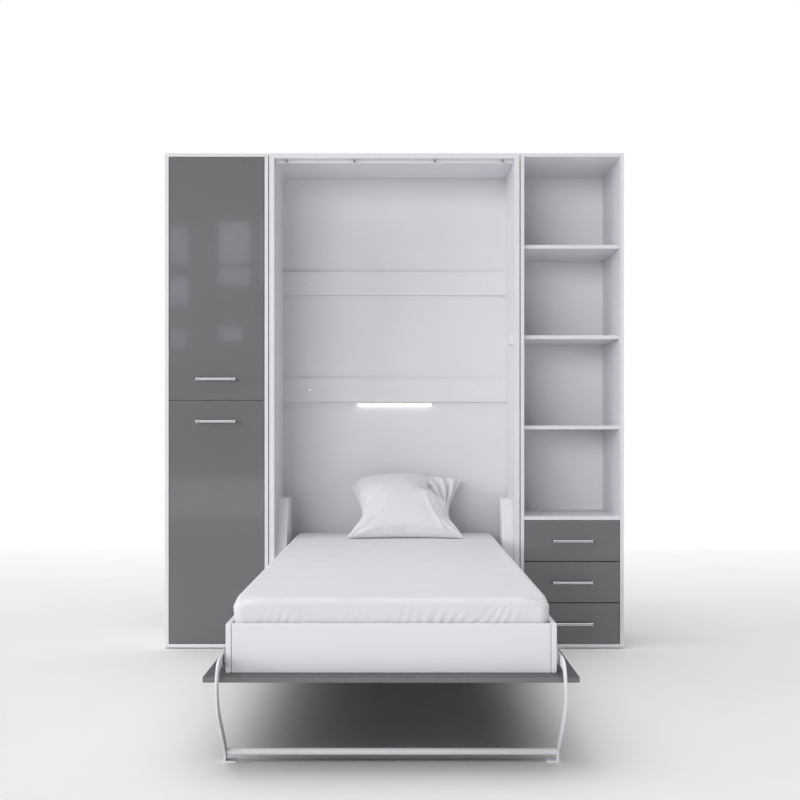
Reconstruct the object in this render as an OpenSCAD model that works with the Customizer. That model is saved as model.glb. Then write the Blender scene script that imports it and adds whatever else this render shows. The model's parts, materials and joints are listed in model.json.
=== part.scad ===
// Wall bed: a fold-down single bed in a tall cabinet, with a two-door cupboard on its left
// and an open shelf unit with three drawers on its right. Millimetres, +Z up, front faces -Y.

/* [Bed] */
// Clear length between the head board and the foot board
bed_l = 2000; // [1900:10:2100]
// Clear width between the side boards
bed_w = 900; // [800:10:1200]
// Thickness of the bed frame boards
bed_board_t = 16; // [15:1:22]
// Height of the bed frame boards
bed_board_h = 138; // [120:2:170]
// Thickness of the mattress
mattress_t = 174; // [120:2:180]
// Gap between the mattress and the boards round it
mattress_gap = 2; // [1:1:12]
// Number of slats
slat_n = 14; // [8:1:20]
// Width of a slat
slat_w = 58; // [40:1:70]
// Thickness of a slat
slat_t = 8; // [6:1:12]
// Height of the ledgers that carry the slats
ledger_h = 30; // [20:1:40]
// Width of the ledgers
ledger_w = 22; // [16:1:40]
// Distance that the front panel stands past the foot board
foot_setback = 52; // [52:1:60]

/* [Front panel] */
// Thickness of the front panel boards
panel_t = 16; // [12:1:19]
// Side gap between the closed panel and the cabinet
panel_side_gap = 2; // [1:0.5:4]
// Gap between the closed panel and the top board
panel_top_gap = 3; // [2:0.5:6]
// Height of the closed panel's lower edge above the floor
panel_low_z = 60; // [50:1:80]

/* [Pivot and hinge housings] */
// Height of the bed pivot
pivot_z = 309; // [305:1:330]
// Distance of the bed pivot behind the front plane
pivot_in = 55; // [55:1:60]
// Distance from the pivot back to the head board
pivot_to_head = 242; // [230:1:250]
// Radius of the pivot shaft
shaft_r = 10; // [8:0.5:12]
// Radial running clearance of shafts and pins
run_gap = 0.05; // [0.02:0.01:0.1]
// Wall of the pivot bushes
bush_wall = 3; // [2:0.5:5]
// Width of a hinge housing
housing_w = 48; // [46:1:52]
// Wall of a hinge housing
housing_wall = 2; // [1.5:0.5:3]
// Radius of the housing's round nose
nose_r = 36; // [34:0.5:37]
// Height of the housing's top above the pivot
housing_rise = 335; // [330:1:380]
// Distance of the housing's top front corner behind the pivot
housing_front = 81; // [70:1:100]
// Distance of the housing's back edge behind the pivot
housing_back = 233; // [225:1:260]
// Width of the housing's screw flange
flange_w = 26; // [20:1:32]
// Distance of the first flange screw below the housing's top front corner
screw_first = 28; // [20:1:40]
// Distance between the flange screws
screw_pitch = 102; // [80:1:110]

/* [Gas struts] */
// Distance of the strut's fixed end behind the pivot
strut_back = 185; // [175:1:195]
// Height of the strut's fixed end above the pivot
strut_rise = 301; // [290:1:305]
// Throw of the crank that the strut pushes
crank_r = 40; // [36:1:42]
// Angle of the crank above the level when the bed is down
crank_angle = 60; // [50:1:65]
// Radius of the strut's cylinder
strut_r = 11; // [9:0.5:12]
// Length of the strut's cylinder
strut_l = 188; // [170:1:195]
// Radius of the strut's rod
rod_r = 5; // [4:0.5:6]
// Radius of the strut's end eyes
eye_r = 10; // [9:0.5:11]
// Radius of the fixed strut stud
stud_r = 5; // [4:0.5:6]

/* [Folding leg] */
// Width of the flat leg bar
leg_w = 30; // [24:1:34]
// Thickness of the flat leg bar
leg_t = 6; // [5:1:8]
// Distance of the leg pivot from the panel's end
leg_back = 151; // [140:1:180]
// Height of the leg pivot above the panel
leg_rise = 36; // [34:1:45]
// Distance that the leg's front edge stands past the panel
leg_past = 49; // [45:1:60]
// Inner bend of the leg, at its centreline
leg_bend_r = 50; // [45:1:60]
// Slow bend of the leg below the panel, at its centreline
leg_bow_r = 150; // [120:1:170]
// Lower bend of the leg, at its centreline
leg_ankle_r = 60; // [45:1:70]
// Lean of the leg's straight stretch from the vertical
leg_lean = 44; // [36:1:48]
// Radius of the cross tube
tube_r = 10; // [8:0.5:14]
// Height of the cross tube's axis
tube_z = 30; // [26:1:40]
// Length of a foot tab
foot_l = 34; // [25:1:45]
// Thickness of a foot tab
foot_t = 5; // [4:0.5:8]
// Thickness of the plate that carries the leg pivot
leg_plate_t = 5; // [4:0.5:6]
// Radius of the leg pivot pin
leg_pin_r = 6; // [5:0.5:8]

/* [Cabinets] */
// Depth of the three cabinets
cab_d = 430; // [430:5:480]
// Width of each side cabinet
side_cab_w = 450; // [400:10:600]
// Board thickness of the side cabinets
board_t = 16; // [15:1:19]
// Board thickness of the bed cabinet
bed_cab_t = 22; // [18:1:25]
// Gap between neighbouring cabinets
cab_gap = 4; // [1:1:8]
// Room in the bed cabinet on each side of the bed frame
bed_side_room = 58; // [57:1:64]
// Thickness of the back panels
back_t = 3; // [3:0.5:8]
// Depth of the grooves that hold the back panels
groove_d = 4; // [3:0.5:6]
// Distance of the side cabinets' back panels from the wall
side_back_in = 9; // [6:1:12]
// Distance of the bed cabinet's back panel from the wall
bed_back_in = 29; // [20:1:32]
// Height of the floor glides
glide_h = 4; // [3:0.5:8]
// Radius of the floor glides
glide_r = 7; // [5:0.5:7.5]
// Distance of the glides from the front and the back
glide_in = 40; // [20:5:80]

/* [Rails, strip and lamp] */
// Height of the wall rails
rail_h = 110; // [80:5:130]
// Thickness of the wall rails
rail_t = 16; // [16:1:22]
// Height of the lower wall rail's centre
rail_low_z = 1141; // [1100:1:1200]
// Distance between the wall rails' centres
rail_pitch = 500; // [450:10:520]
// Distance between the wall screw holes along a rail
wall_hole_pitch = 800; // [600:10:900]
// Radius of the wall screw holes
wall_hole_r = 4; // [3:0.5:6]
// Height of the joint strip's centre on the back
joint_z = 661; // [640:1:700]
// Height of the joint strip
joint_h = 19; // [12:1:30]
// Height of the stop strip under the top board
strip_h = 13; // [10:0.5:16]
// Thickness of the stop strip
strip_t = 10; // [8:1:16]
// Distance of the stop strip behind the front plane
strip_in = 35; // [30:1:45]
// Radius of the stop buffers
buffer_r = 5; // [4:0.5:6]
// Places of the stop buffers, from the middle
buffer_x = [176, 474];
// Length of the lamp bar
lamp_l = 350; // [250:10:500]
// Depth of the lamp bar
lamp_d = 18; // [14:1:24]
// Height of the lamp's metal body
lamp_body_h = 10; // [8:1:14]
// Height of the lamp's diffuser
lamp_glow_h = 10; // [6:1:14]

/* [Light switch] */
// Height of the switch's centre
switch_z = 1352; // [1250:1:1400]
// Distance of the switch behind the front plane
switch_in = 64; // [50:1:90]
// Depth of the switch box along the side panel
switch_d = 86; // [60:1:90]
// Height of the switch box
switch_h = 38; // [34:1:50]
// Thickness of the switch box
switch_t = 12; // [11:0.5:14]
// Width of the rocker
rocker_w = 30; // [20:1:40]
// Height of the rocker
rocker_h = 22; // [16:1:24]
// Angle of the rocker at rest
rocker_tilt = 5; // [3:1:6]

/* [Doors and shelves] */
// Thickness of doors and drawer fronts
door_t = 16; // [14:1:19]
// Gap round doors and drawer fronts at the carcass
door_gap = 2; // [1.5:0.5:3]
// Gap between two doors or two drawer fronts
split_gap = 3; // [2:0.5:4]
// Radius of a hinge cup
cup_r = 17.5; // [13:0.5:17.5]
// Depth of a hinge cup
cup_depth = 11; // [9:0.5:12]
// Distance of the end hinges from the door's ends
hinge_in = 100; // [80:5:150]
// Number of loose shelves behind each door
loose_n = 2; // [1:1:3]
// Distance of the loose shelves behind the front plane
loose_in = 110; // [100:5:150]
// Number of open shelves over the drawers
open_n = 3; // [2:1:4]
// Distance of the open shelves behind the front plane
open_in = 27; // [0:1:40]
// Radius of the screws that join the cabinets
link_r = 3; // [2:0.5:4]
// Depth of the joining screws in the bed cabinet's sides
link_deep = 14; // [8:1:16]
// Distance of the joining screws from the front and the back
link_in = 70; // [50:5:100]
// Distance of the joining screws from the bottom and top boards
link_up = 45; // [30:5:90]
// Radius of a shelf pin
pin_r = 2.5; // [2:0.25:3]
// Length of a shelf pin outside the board
pin_out = 10; // [8:1:14]
// Length of a shelf pin inside the board
pin_deep = 9; // [7:0.5:10]

/* [Drawers] */
// Height of the stack of three drawer fronts
stack_h = 540; // [480:10:600]
// Gap between a drawer box and the back panel behind it
box_back_gap = 42; // [20:2:60]
// Height of a drawer box
box_h = 120; // [90:2:130]
// Board thickness of a drawer box
box_t = 12; // [10:1:14]
// Thickness of a drawer bottom
box_floor_t = 3; // [3:0.5:6]
// Height of a drawer box above its front's lower edge
box_lift = 20; // [16:1:30]
// Room for a runner on each side of the box
runner_w = 13; // [12.5:0.5:16]
// Distance that a runner ends before its box does
runner_short = 10; // [5:1:20]
// Radius of a runner's roller
roller_r = 9; // [7:0.5:10]
// Sheet thickness of a runner
runner_t = 1.5; // [1:0.25:2]

/* [Bar handles] */
// Length of a handle bar
handle_l = 176; // [160:1:220]
// Distance between the handle's posts
handle_pitch = 128; // [96:1:140]
// Radius of the handle bar
handle_r = 5; // [4:0.5:6]
// Radius of the collars at the bar's ends
collar_r = 6; // [5.5:0.5:7]
// Distance from the face to the bar's axis
handle_out = 27; // [22:1:32]
// Distance of the handles from the split between the doors
handle_off = 92; // [60:1:120]

/* [Pillow] */
// Width of the pillow
pillow_w = 500; // [400:5:700]
// Depth of the leaning pillow over the mattress
pillow_d = 371; // [330:1:380]
// Height of the pillow's upper seam above its lower seam
pillow_h = 257; // [200:1:280]
// Thickness of the pillow
pillow_t = 156; // [100:2:170]
// Distance of the pillow's middle to the right of the bed's middle
pillow_x = 48; // [-150:2:150]
// Distance of the pillow's lower seam in front of the cabinets' front plane
pillow_front = 31; // [20:1:60]

/* [Hidden] */

// Round shapes
$fn = 48;
eps = 0.01;

// Side view of the bed: y counts back from the front plane, z up from the floor
panel_z0 = pivot_z - pivot_in;
panel_z1 = panel_z0 + panel_t;
head_y0 = pivot_in + pivot_to_head;
head_y1 = head_y0 + bed_board_t;
foot_y1 = head_y0 - bed_l;
foot_y0 = foot_y1 - bed_board_t;
panel_y0 = foot_y0 - foot_setback;
panel_y1 = pivot_in + pivot_z - panel_low_z;
ledger_z1 = panel_z1 + ledger_h;
mattress_z0 = ledger_z1 + slat_t;
mattress_z1 = mattress_z0 + mattress_t;

// The cabinets' height follows from the closed panel
top_z0 = pivot_z + pivot_in - panel_y0 + panel_top_gap;
cab_h = top_z0 + bed_cab_t;

// Widths from the middle outwards
frame_x = bed_w / 2 + bed_board_t;
bed_in_x = frame_x + bed_side_room;
bed_out_x = bed_in_x + bed_cab_t;
side_x0 = bed_out_x + cab_gap;
side_x1 = side_x0 + side_cab_w;
open_x0 = side_x0 + board_t;
open_x1 = side_x1 - board_t;
panel_x = bed_in_x - panel_side_gap;
housing_x = bed_in_x - housing_w;

// The leg stands furthest forward, and the frame is centred between it and the wall
leg_front = -panel_y0 + leg_past;
mid_y = (leg_front - cab_d) / 2;

// Backs
side_back_y = cab_d - side_back_in - back_t;
bed_back_y = cab_d - bed_back_in - back_t;
rail_y = bed_back_y - rail_t;
rail_zs = [rail_low_z, rail_low_z + rail_pitch];

// Side cabinets
bottom_z1 = glide_h + board_t;
side_top_z0 = cab_h - board_t;
split_z = (bottom_z1 + side_top_z0) / 2;
door_x0 = open_x0 + door_gap;
door_x1 = open_x1 - door_gap;
door_mid_x = (door_x0 + door_x1) / 2;
door_zs = [[split_z + split_gap / 2, side_top_z0 - door_gap],
    [bottom_z1 + door_gap, split_z - split_gap / 2]];
deck_z0 = bottom_z1 + stack_h;
deck_z1 = deck_z0 + board_t;
open_step = (side_top_z0 - deck_z1 - open_n * board_t) / (open_n + 1) + board_t;
half_step = (side_top_z0 - split_z - board_t / 2 - loose_n * board_t) / (loose_n + 1) + board_t;

function open_shelf_z(i) = deck_z1 + open_step * (i + 1) - board_t;
function loose_shelf_z(half, i) =
    (half == 0 ? split_z + board_t / 2 : bottom_z1) + half_step * (i + 1) - board_t;
function hinge_zs(i) = [door_zs[i][0] + hinge_in, (door_zs[i][0] + door_zs[i][1]) / 2,
    door_zs[i][1] - hinge_in];
loose_zs = [for (half = [0, 1], i = [0:loose_n - 1]) loose_shelf_z(half, i)];

// Drawers, counted from the top
front_pitch = stack_h / 3;
function front_z0(i) = deck_z0 - front_pitch * (i + 1) + split_gap / 2;
function box_z0(i) = front_z0(i) + box_lift;
function box_mid_z(i) = box_z0(i) + box_h / 2;
box_x0 = open_x0 + runner_w;
box_x1 = open_x1 - runner_w;
box_l = side_back_y - door_t - box_back_gap;
runner_l = box_l - runner_short;
floor_in = box_t / 2;
floor_up = 8;
flange_gap = 0.3;
lip_gap = 0.5;
roller_axle_r = 3;
roller_end_gap = 1;

// Hinge housing outline, from the pivot
stud_y = pivot_in + strut_back;
stud_z = pivot_z + strut_rise;

// Struts
crank_y = pivot_in + crank_r * cos(crank_angle);
crank_z = pivot_z + crank_r * sin(crank_angle);
strut_turn = atan2(crank_z - stud_z, crank_y - stud_y);
strut_reach = norm([crank_y - stud_y, crank_z - stud_z]);
crank_t = 6;
crank_x = housing_x + 8;
eye_x = crank_x + crank_t + 4.5;
eye_w = 11;
strut_x = eye_x + eye_w / 2;
rod_inside = 60;

// Brackets and leg
bracket_t = 4;
bracket_r = 32;
leg_x = frame_x + leg_plate_t + 3;
leg_s = -panel_y0 - leg_back;
leg_z = panel_z1 + leg_rise;
bow_z = leg_z - leg_bend_r;
bend_s = leg_front - leg_w / 2 - leg_bend_r;
bow_s = leg_front - leg_w / 2 - leg_bow_r;
bow_end = [bow_s + leg_bow_r * cos(leg_lean), bow_z - leg_bow_r * sin(leg_lean)];
ankle_z = foot_t + 3;
shin_l = (bow_end[1] - leg_ankle_r * sin(leg_lean) - ankle_z) / cos(leg_lean);
shin_end = bow_end - shin_l * [sin(leg_lean), cos(leg_lean)];
foot_s = shin_end[0] - leg_ankle_r * (1 - cos(leg_lean));
tube_s = foot_s + leg_ankle_r - sqrt(pow(leg_ankle_r, 2) - pow(tube_z - ankle_z, 2));

// Switch
rocker_y = switch_in + switch_d / 2;
rocker_gap = 1;
rocker_t = 6;
rocker_pin_r = 1.2;
rocker_axis_x = bed_in_x - switch_t + 2;

// Colours
white = "whitesmoke";
grey = "dimgray";
steel = "silver";

// Places everything with its middle over the origin
module place() { translate([0, mid_y, 0]) children(); }

// Copies a right-hand piece to the left
module both_sides() {
    children();
    mirror([1, 0, 0]) children();
}

// A board or block from its two corners
module block(a, b) { translate(a) cube(b - a); }

// A plate drawn in the side view (y, z) and given its thickness along X
module side_plate(x, t) { translate([x, 0, 0]) rotate([90, 0, 90]) linear_extrude(t) children(); }

// A round bar along X, along Y or along Z, from a point
module bar_x(p, r, l) { translate(p) rotate([0, 90, 0]) cylinder(r = r, h = l); }
module bar_y(p, r, l) { translate(p) rotate([-90, 0, 0]) cylinder(r = r, h = l); }
module bar_z(p, r, l) { translate(p) cylinder(r = r, h = l); }

// Side board of a side cabinet with its groove; pins are the heights of its shelf pin rows
module cabinet_side(x, groove_x, pin_x, pins, pin_ys) {
    difference() {
        block([x, 0, glide_h], [x + board_t, cab_d, side_top_z0]);
        block([groove_x, side_back_y, glide_h - 1], [groove_x + groove_d, side_back_y + back_t, cab_h]);
        for (z = pins, y = pin_ys)
            bar_x([pin_x, y, z - pin_r], pin_r, pin_deep + 0.2);
    }
}

// Joining screws run from inside a side cabinet into the bed cabinet's side
link_zs = [bottom_z1 + link_up, side_top_z0 - link_up];
link_ys = [link_in, cab_d - link_in];
module link_holes() {
    for (z = link_zs, y = link_ys)
        bar_x([bed_out_x - link_deep - 0.5, y, z], link_r + run_gap, open_x0 - bed_out_x + link_deep + 1.5);
}
module connector_screws() {
    head_r = 6;
    head_t = 3;
    spacer_r = 9;
    color(steel) place() both_sides() for (z = link_zs, y = link_ys) {
        bar_x([bed_out_x - link_deep, y, z], link_r, open_x0 - bed_out_x + link_deep + eps);
        bar_x([open_x0, y, z], head_r, head_t);
        bar_x([bed_out_x, y, z], spacer_r, cab_gap);
    }
}

loose_pin_ys = [loose_in + 30, side_back_y - 40];
open_pin_ys = [open_in + 40, side_back_y - 40];
open_zs = [for (i = [0:open_n - 1]) open_shelf_z(i)];

// The pair of sides round one side cabinet, drawn on the right
module side_pair(pins, pin_ys) {
    difference() {
        cabinet_side(side_x0, open_x0 - groove_d, open_x0 - pin_deep - 0.2, pins, pin_ys);
        link_holes();
    }
    cabinet_side(side_x1 - board_t, open_x1, open_x1, pins, pin_ys);
}

module left_sides() { color(white) place() mirror([1, 0, 0]) side_pair(loose_zs, loose_pin_ys); }
module right_sides() { color(white) place() side_pair(open_zs, open_pin_ys); }

module side_cabinet_tops() {
    color(white) place() both_sides()
        block([side_x0, 0, side_top_z0], [side_x1, cab_d, cab_h]);
}

module side_cabinet_bottoms() {
    color(white) place() both_sides()
        block([open_x0, 0, glide_h], [open_x1, side_back_y, bottom_z1]);
}

module side_cabinet_backs() {
    color(white) place() both_sides()
        block([open_x0 - groove_d, side_back_y, glide_h], [open_x1 + groove_d, side_back_y + back_t, side_top_z0]);
}

module fixed_shelves() {
    color(white) place() {
        mirror([1, 0, 0]) block([open_x0, door_t + 2, split_z - board_t / 2],
            [open_x1, side_back_y, split_z + board_t / 2]);
        block([open_x0, 0, deck_z0], [open_x1, side_back_y, deck_z1]);
    }
}

// A loose shelf lies on four pins with a little play at its ends
shelf_play = 0.5;
module shelf(z, y) {
    block([open_x0 + shelf_play, y, z], [open_x1 - shelf_play, side_back_y, z + board_t]);
}

module shelves() {
    color(white) place() {
        mirror([1, 0, 0]) for (z = loose_zs) shelf(z, loose_in);
        for (z = open_zs) shelf(z, open_in);
    }
}

module pins(zs, ys) {
    for (z = zs, y = ys) {
        bar_x([open_x0 - pin_deep, y, z - pin_r], pin_r - run_gap, pin_deep + pin_out);
        bar_x([open_x1 - pin_out, y, z - pin_r], pin_r - run_gap, pin_deep + pin_out);
    }
}

module shelf_pins() {
    color(steel) place() {
        mirror([1, 0, 0]) pins(loose_zs, loose_pin_ys);
        pins(open_zs, open_pin_ys);
    }
}

module floor_glides() {
    xs = [side_x0 + board_t / 2, side_x1 - board_t / 2, bed_in_x + bed_cab_t / 2];
    color(grey) place() both_sides() for (x = xs, y = [glide_in, cab_d - glide_in])
        bar_z([x, y, 0], glide_r, glide_h);
}

// Doors: inset in the left cupboard, each with three cup holes in its back
cup_in = 3;
cup_x = door_x1 - cup_in - cup_r;
module door(i) {
    color(grey) place() mirror([1, 0, 0]) difference() {
        block([door_x0, 0, door_zs[i][0]], [door_x1, door_t, door_zs[i][1]]);
        for (z = hinge_zs(i)) bar_y([cup_x, door_t - cup_depth, z], cup_r, cup_depth + 1);
    }
}
module upper_door() { door(0); }
module lower_door() { door(1); }

// Bar handle with two posts, lying along X in front of a face at y = 0
module bar_handle() {
    end_l = 12;
    post_r = 4;
    foot_r = 6;
    bar_x([-handle_l / 2, -handle_out, 0], handle_r, handle_l);
    for (s = [-1, 1]) {
        bar_x([s * (handle_l - end_l) / 2 - end_l / 2, -handle_out, 0], collar_r, end_l);
        bar_y([s * handle_pitch / 2, -handle_out, 0], post_r, handle_out);
        bar_y([s * handle_pitch / 2, -2, 0], foot_r, 2);
    }
}
module handle_at(x, z) { color(steel) place() translate([x, 0, z]) bar_handle(); }
module upper_door_handle() { handle_at(-door_mid_x, split_z + handle_off); }
module lower_door_handle() { handle_at(-door_mid_x, split_z - handle_off); }

// Hinge cup: a pressed cup in the door with a screw plate on the door's back
cup_plate_t = 1.5;
module hinge_cups(i) {
    plate_w = 52;
    plate_h = 20;
    cup_wall = 1.5;
    color(steel) place() mirror([1, 0, 0]) for (z = hinge_zs(i)) difference() {
        union() {
            bar_y([cup_x, door_t - cup_depth, z], cup_r - run_gap, cup_depth + cup_plate_t);
            block([cup_x - plate_h / 2, door_t, z - plate_w / 2],
                [cup_x + plate_h / 2, door_t + cup_plate_t, z + plate_w / 2]);
        }
        bar_y([cup_x, door_t - cup_depth + cup_wall, z], cup_r - cup_wall * 2, cup_depth + 1);
        for (s = [-1, 1]) bar_y([cup_x, door_t - 1, z + s * (plate_w / 2 - 5)], 2, cup_plate_t + 2);
    }
}
module upper_hinge_cups() { hinge_cups(0); }
module lower_hinge_cups() { hinge_cups(1); }

// Hinge arm: a plate on the outer side board and an arm that ends over the cup
module hinge_arm(z) {
    arm_y = door_t + cup_plate_t + 0.4;
    plate_y = 36;
    plate_l = 50;
    plate_t = 8;
    arm_h = 14;
    block([open_x1 - plate_t, plate_y, z - arm_h], [open_x1, plate_y + plate_l, z + arm_h]);
    difference() {
        block([cup_x - 6, arm_y, z - arm_h / 2], [open_x1 - plate_t, plate_y + plate_l - 6, z + arm_h / 2]);
        block([cup_x - 7, arm_y + 9, z - arm_h], [cup_x + 6, plate_y + plate_l, z + arm_h]);
    }
}
module hinge_arms() {
    color(steel) place() mirror([1, 0, 0]) for (i = [0, 1], z = hinge_zs(i)) hinge_arm(z);
}

// Drawers
module drawer_front(i) {
    color(grey) place() block([door_x0, 0, front_z0(i)],
        [door_x1, door_t, front_z0(i) + front_pitch - split_gap]);
}
module drawer_box(i) {
    z = box_z0(i);
    floor_z = z + floor_up;
    color(white) place() {
        difference() {
            union() {
                block([box_x0, door_t, z], [box_x0 + box_t, door_t + box_l, z + box_h]);
                block([box_x1 - box_t, door_t, z], [box_x1, door_t + box_l, z + box_h]);
            }
            block([box_x0 + floor_in, door_t - 1, floor_z],
                [box_x1 - floor_in, door_t + box_l + 1, floor_z + box_floor_t]);
        }
        block([box_x0 + box_t, door_t + box_l - box_t, floor_z + box_floor_t],
            [box_x1 - box_t, door_t + box_l, z + box_h]);
        block([box_x0 + floor_in, door_t, floor_z],
            [box_x1 - floor_in, door_t + box_l, floor_z + box_floor_t]);
    }
}
module drawer_handle(i) {
    handle_at(door_mid_x, front_z0(i) + (front_pitch - split_gap) / 2);
}

// A runner pair is drawn on the box's left and mirrored about the drawer's middle
module runner_sides() {
    children();
    translate([open_x0 + open_x1, 0, 0]) mirror([1, 0, 0]) children();
}
runner_y = door_t + 4;
rail_top = roller_r + flange_gap + runner_t + lip_gap;
module drawer_slides(i) {
    z = box_mid_z(i);
    plate_x = box_x0 - runner_t;
    flange_x = open_x0 + runner_t + roller_end_gap;
    color(steel) place() runner_sides() {
        block([plate_x, runner_y, z - roller_r], [box_x0, runner_y + runner_l, z + rail_top - lip_gap]);
        block([flange_x, runner_y, z + roller_r + flange_gap],
            [plate_x + eps, runner_y + runner_l, z + rail_top - lip_gap]);
        bar_x([flange_x, runner_y + runner_l - roller_r, z], roller_r,
            plate_x - flange_x - roller_end_gap);
        bar_x([plate_x - roller_end_gap - eps, runner_y + runner_l - roller_r, z], roller_axle_r,
            roller_end_gap + 2 * eps);
    }
}
module drawer_rails() {
    lip_x = open_x0 + runner_w - runner_t - roller_end_gap;
    rail_past = 10;
    color(steel) place() for (i = [0:2]) translate([0, 0, box_mid_z(i)]) runner_sides() {
        block([open_x0, runner_y, -rail_top - runner_t],
            [open_x0 + runner_t, runner_y + runner_l + rail_past, rail_top + runner_t]);
        for (s = [-1, 1])
            block([open_x0, runner_y, s * (rail_top + runner_t / 2) - runner_t / 2],
                [lip_x, runner_y + runner_l + rail_past, s * (rail_top + runner_t / 2) + runner_t / 2]);
        bar_x([open_x0, runner_y + roller_r, 0], roller_r, lip_x - open_x0);
    }
}
module top_drawer_front() { drawer_front(0); }
module top_drawer_box() { drawer_box(0); }
module top_drawer_handle() { drawer_handle(0); }
module top_drawer_slides() { drawer_slides(0); }
module middle_drawer_front() { drawer_front(1); }
module middle_drawer_box() { drawer_box(1); }
module middle_drawer_handle() { drawer_handle(1); }
module middle_drawer_slides() { drawer_slides(1); }
module bottom_drawer_front() { drawer_front(2); }
module bottom_drawer_box() { drawer_box(2); }
module bottom_drawer_handle() { drawer_handle(2); }
module bottom_drawer_slides() { drawer_slides(2); }

// Bed cabinet
base_z1 = glide_h + bed_cab_t;
module bed_cabinet_sides() {
    color(white) place() both_sides() difference() {
        block([bed_in_x, 0, glide_h], [bed_out_x, cab_d, top_z0]);
        block([bed_in_x - 1, bed_back_y, glide_h - 1],
            [bed_in_x + groove_d, bed_back_y + back_t, top_z0 + 1]);
        link_holes();
    }
}
module bed_cabinet_top() {
    color(white) place() block([-bed_out_x, 0, top_z0], [bed_out_x, cab_d, cab_h]);
}
module bed_cabinet_base() {
    color(white) place() block([-bed_in_x, 0, glide_h], [bed_in_x, bed_back_y, base_z1]);
}
module wall_holes(y, l) {
    for (x = [-1, 1], z = rail_zs) bar_y([x * wall_hole_pitch / 2, y, z], wall_hole_r, l);
}

// Back: three sheets that meet behind the joint strip and behind the lower rail
module bed_cabinet_back() {
    cuts = [glide_h, joint_z, rail_low_z, top_z0];
    x = bed_in_x + groove_d;
    color(white) place() difference() {
        for (i = [0:2]) block([-x, bed_back_y, cuts[i]], [x, bed_back_y + back_t, cuts[i + 1] - 0.5]);
        wall_holes(bed_back_y - 1, back_t + 2);
    }
}

// Joint strip: a web between two sheets and a bead over their edges
module back_joint_strip() {
    bead_t = 1.5;
    color(white) place() block([-bed_in_x, bed_back_y - bead_t, joint_z - joint_h / 2],
        [bed_in_x, bed_back_y, joint_z + joint_h / 2]);
}
module wall_rails() {
    color(white) place() difference() {
        for (z = rail_zs)
            block([-bed_in_x, rail_y, z - rail_h / 2], [bed_in_x, bed_back_y, z + rail_h / 2]);
        wall_holes(rail_y - 1, rail_t + 2);
    }
}
module stop_strip() {
    color(white) place() block([-bed_in_x, strip_in, top_z0 - strip_h],
        [bed_in_x, strip_in + strip_t, top_z0]);
}
module stop_buffers() {
    color(grey) place() both_sides() for (x = buffer_x)
        bar_y([x, panel_t + 0.3, top_z0 - strip_h / 2], buffer_r, strip_in - panel_t - 0.3);
}

// Lamp under the lower rail
lamp_y = rail_y - 2;
lamp_z = rail_low_z - rail_h / 2;
module lamp_body() {
    color(steel) place() block([-lamp_l / 2, lamp_y, lamp_z - lamp_body_h],
        [lamp_l / 2, lamp_y + lamp_d, lamp_z]);
}
module lamp_diffuser() {
    color("white") place() intersection() {
        block([-lamp_l / 2 + 2, lamp_y + 1, lamp_z - lamp_body_h - lamp_glow_h],
            [lamp_l / 2 - 2, lamp_y + lamp_d - 1, lamp_z - lamp_body_h]);
        bar_x([-lamp_l / 2, lamp_y + lamp_d / 2, lamp_z - lamp_body_h], lamp_glow_h, lamp_l);
    }
}

// Switch on the right side panel, with a rocker that tips about a lengthwise pin
module switch_box() {
    x0 = bed_in_x - switch_t;
    wy = rocker_w / 2 + rocker_gap;
    wz = rocker_h / 2 + rocker_gap;
    color(white) place() difference() {
        block([x0, switch_in, switch_z - switch_h / 2], [bed_in_x, switch_in + switch_d, switch_z + switch_h / 2]);
        block([x0 - 1, rocker_y - wy, switch_z - wz], [x0 + rocker_t + 2, rocker_y + wy, switch_z + wz]);
        bar_y([rocker_axis_x, rocker_y - wy - 3, switch_z], rocker_pin_r + run_gap, 2 * wy + 6);
    }
}
module switch_rocker() {
    hz = rocker_h / 2;
    hy = rocker_w / 2;
    peak = 1.5;
    color("gainsboro") place() translate([rocker_axis_x, rocker_y, switch_z]) rotate([0, rocker_tilt, 0]) {
        translate([0, hy, 0]) rotate([90, 0, 0]) linear_extrude(rocker_w)
            polygon([[-rocker_t / 2, -hz], [rocker_t / 2, -hz], [rocker_t / 2, hz], [-rocker_t / 2, hz],
                [-rocker_t / 2 + peak, 0]]);
        bar_y([0, -hy - rocker_gap - 2, 0], rocker_pin_r, rocker_w + 2 * rocker_gap + 4);
    }
}

// Hinge housing outline from the pivot: round nose, slanting front, flat top, square back
nose_steps = 10;
function tangent_angle(r, p) = atan2(p[1], p[0]) + acos(r / norm(p));
function housing_points(in) =
    let (r = nose_r - in, corner = [housing_front + in, housing_rise - in], turn = tangent_angle(r, corner))
    concat([for (k = [0:nose_steps]) let (a = 270 + (turn - 270) * k / nose_steps) r * [cos(a), sin(a)]],
        [corner, [housing_back - in, housing_rise - in], [housing_back - in, -r]]);
module housing_outline(in) { translate([pivot_in, pivot_z]) polygon(housing_points(in)); }

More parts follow.
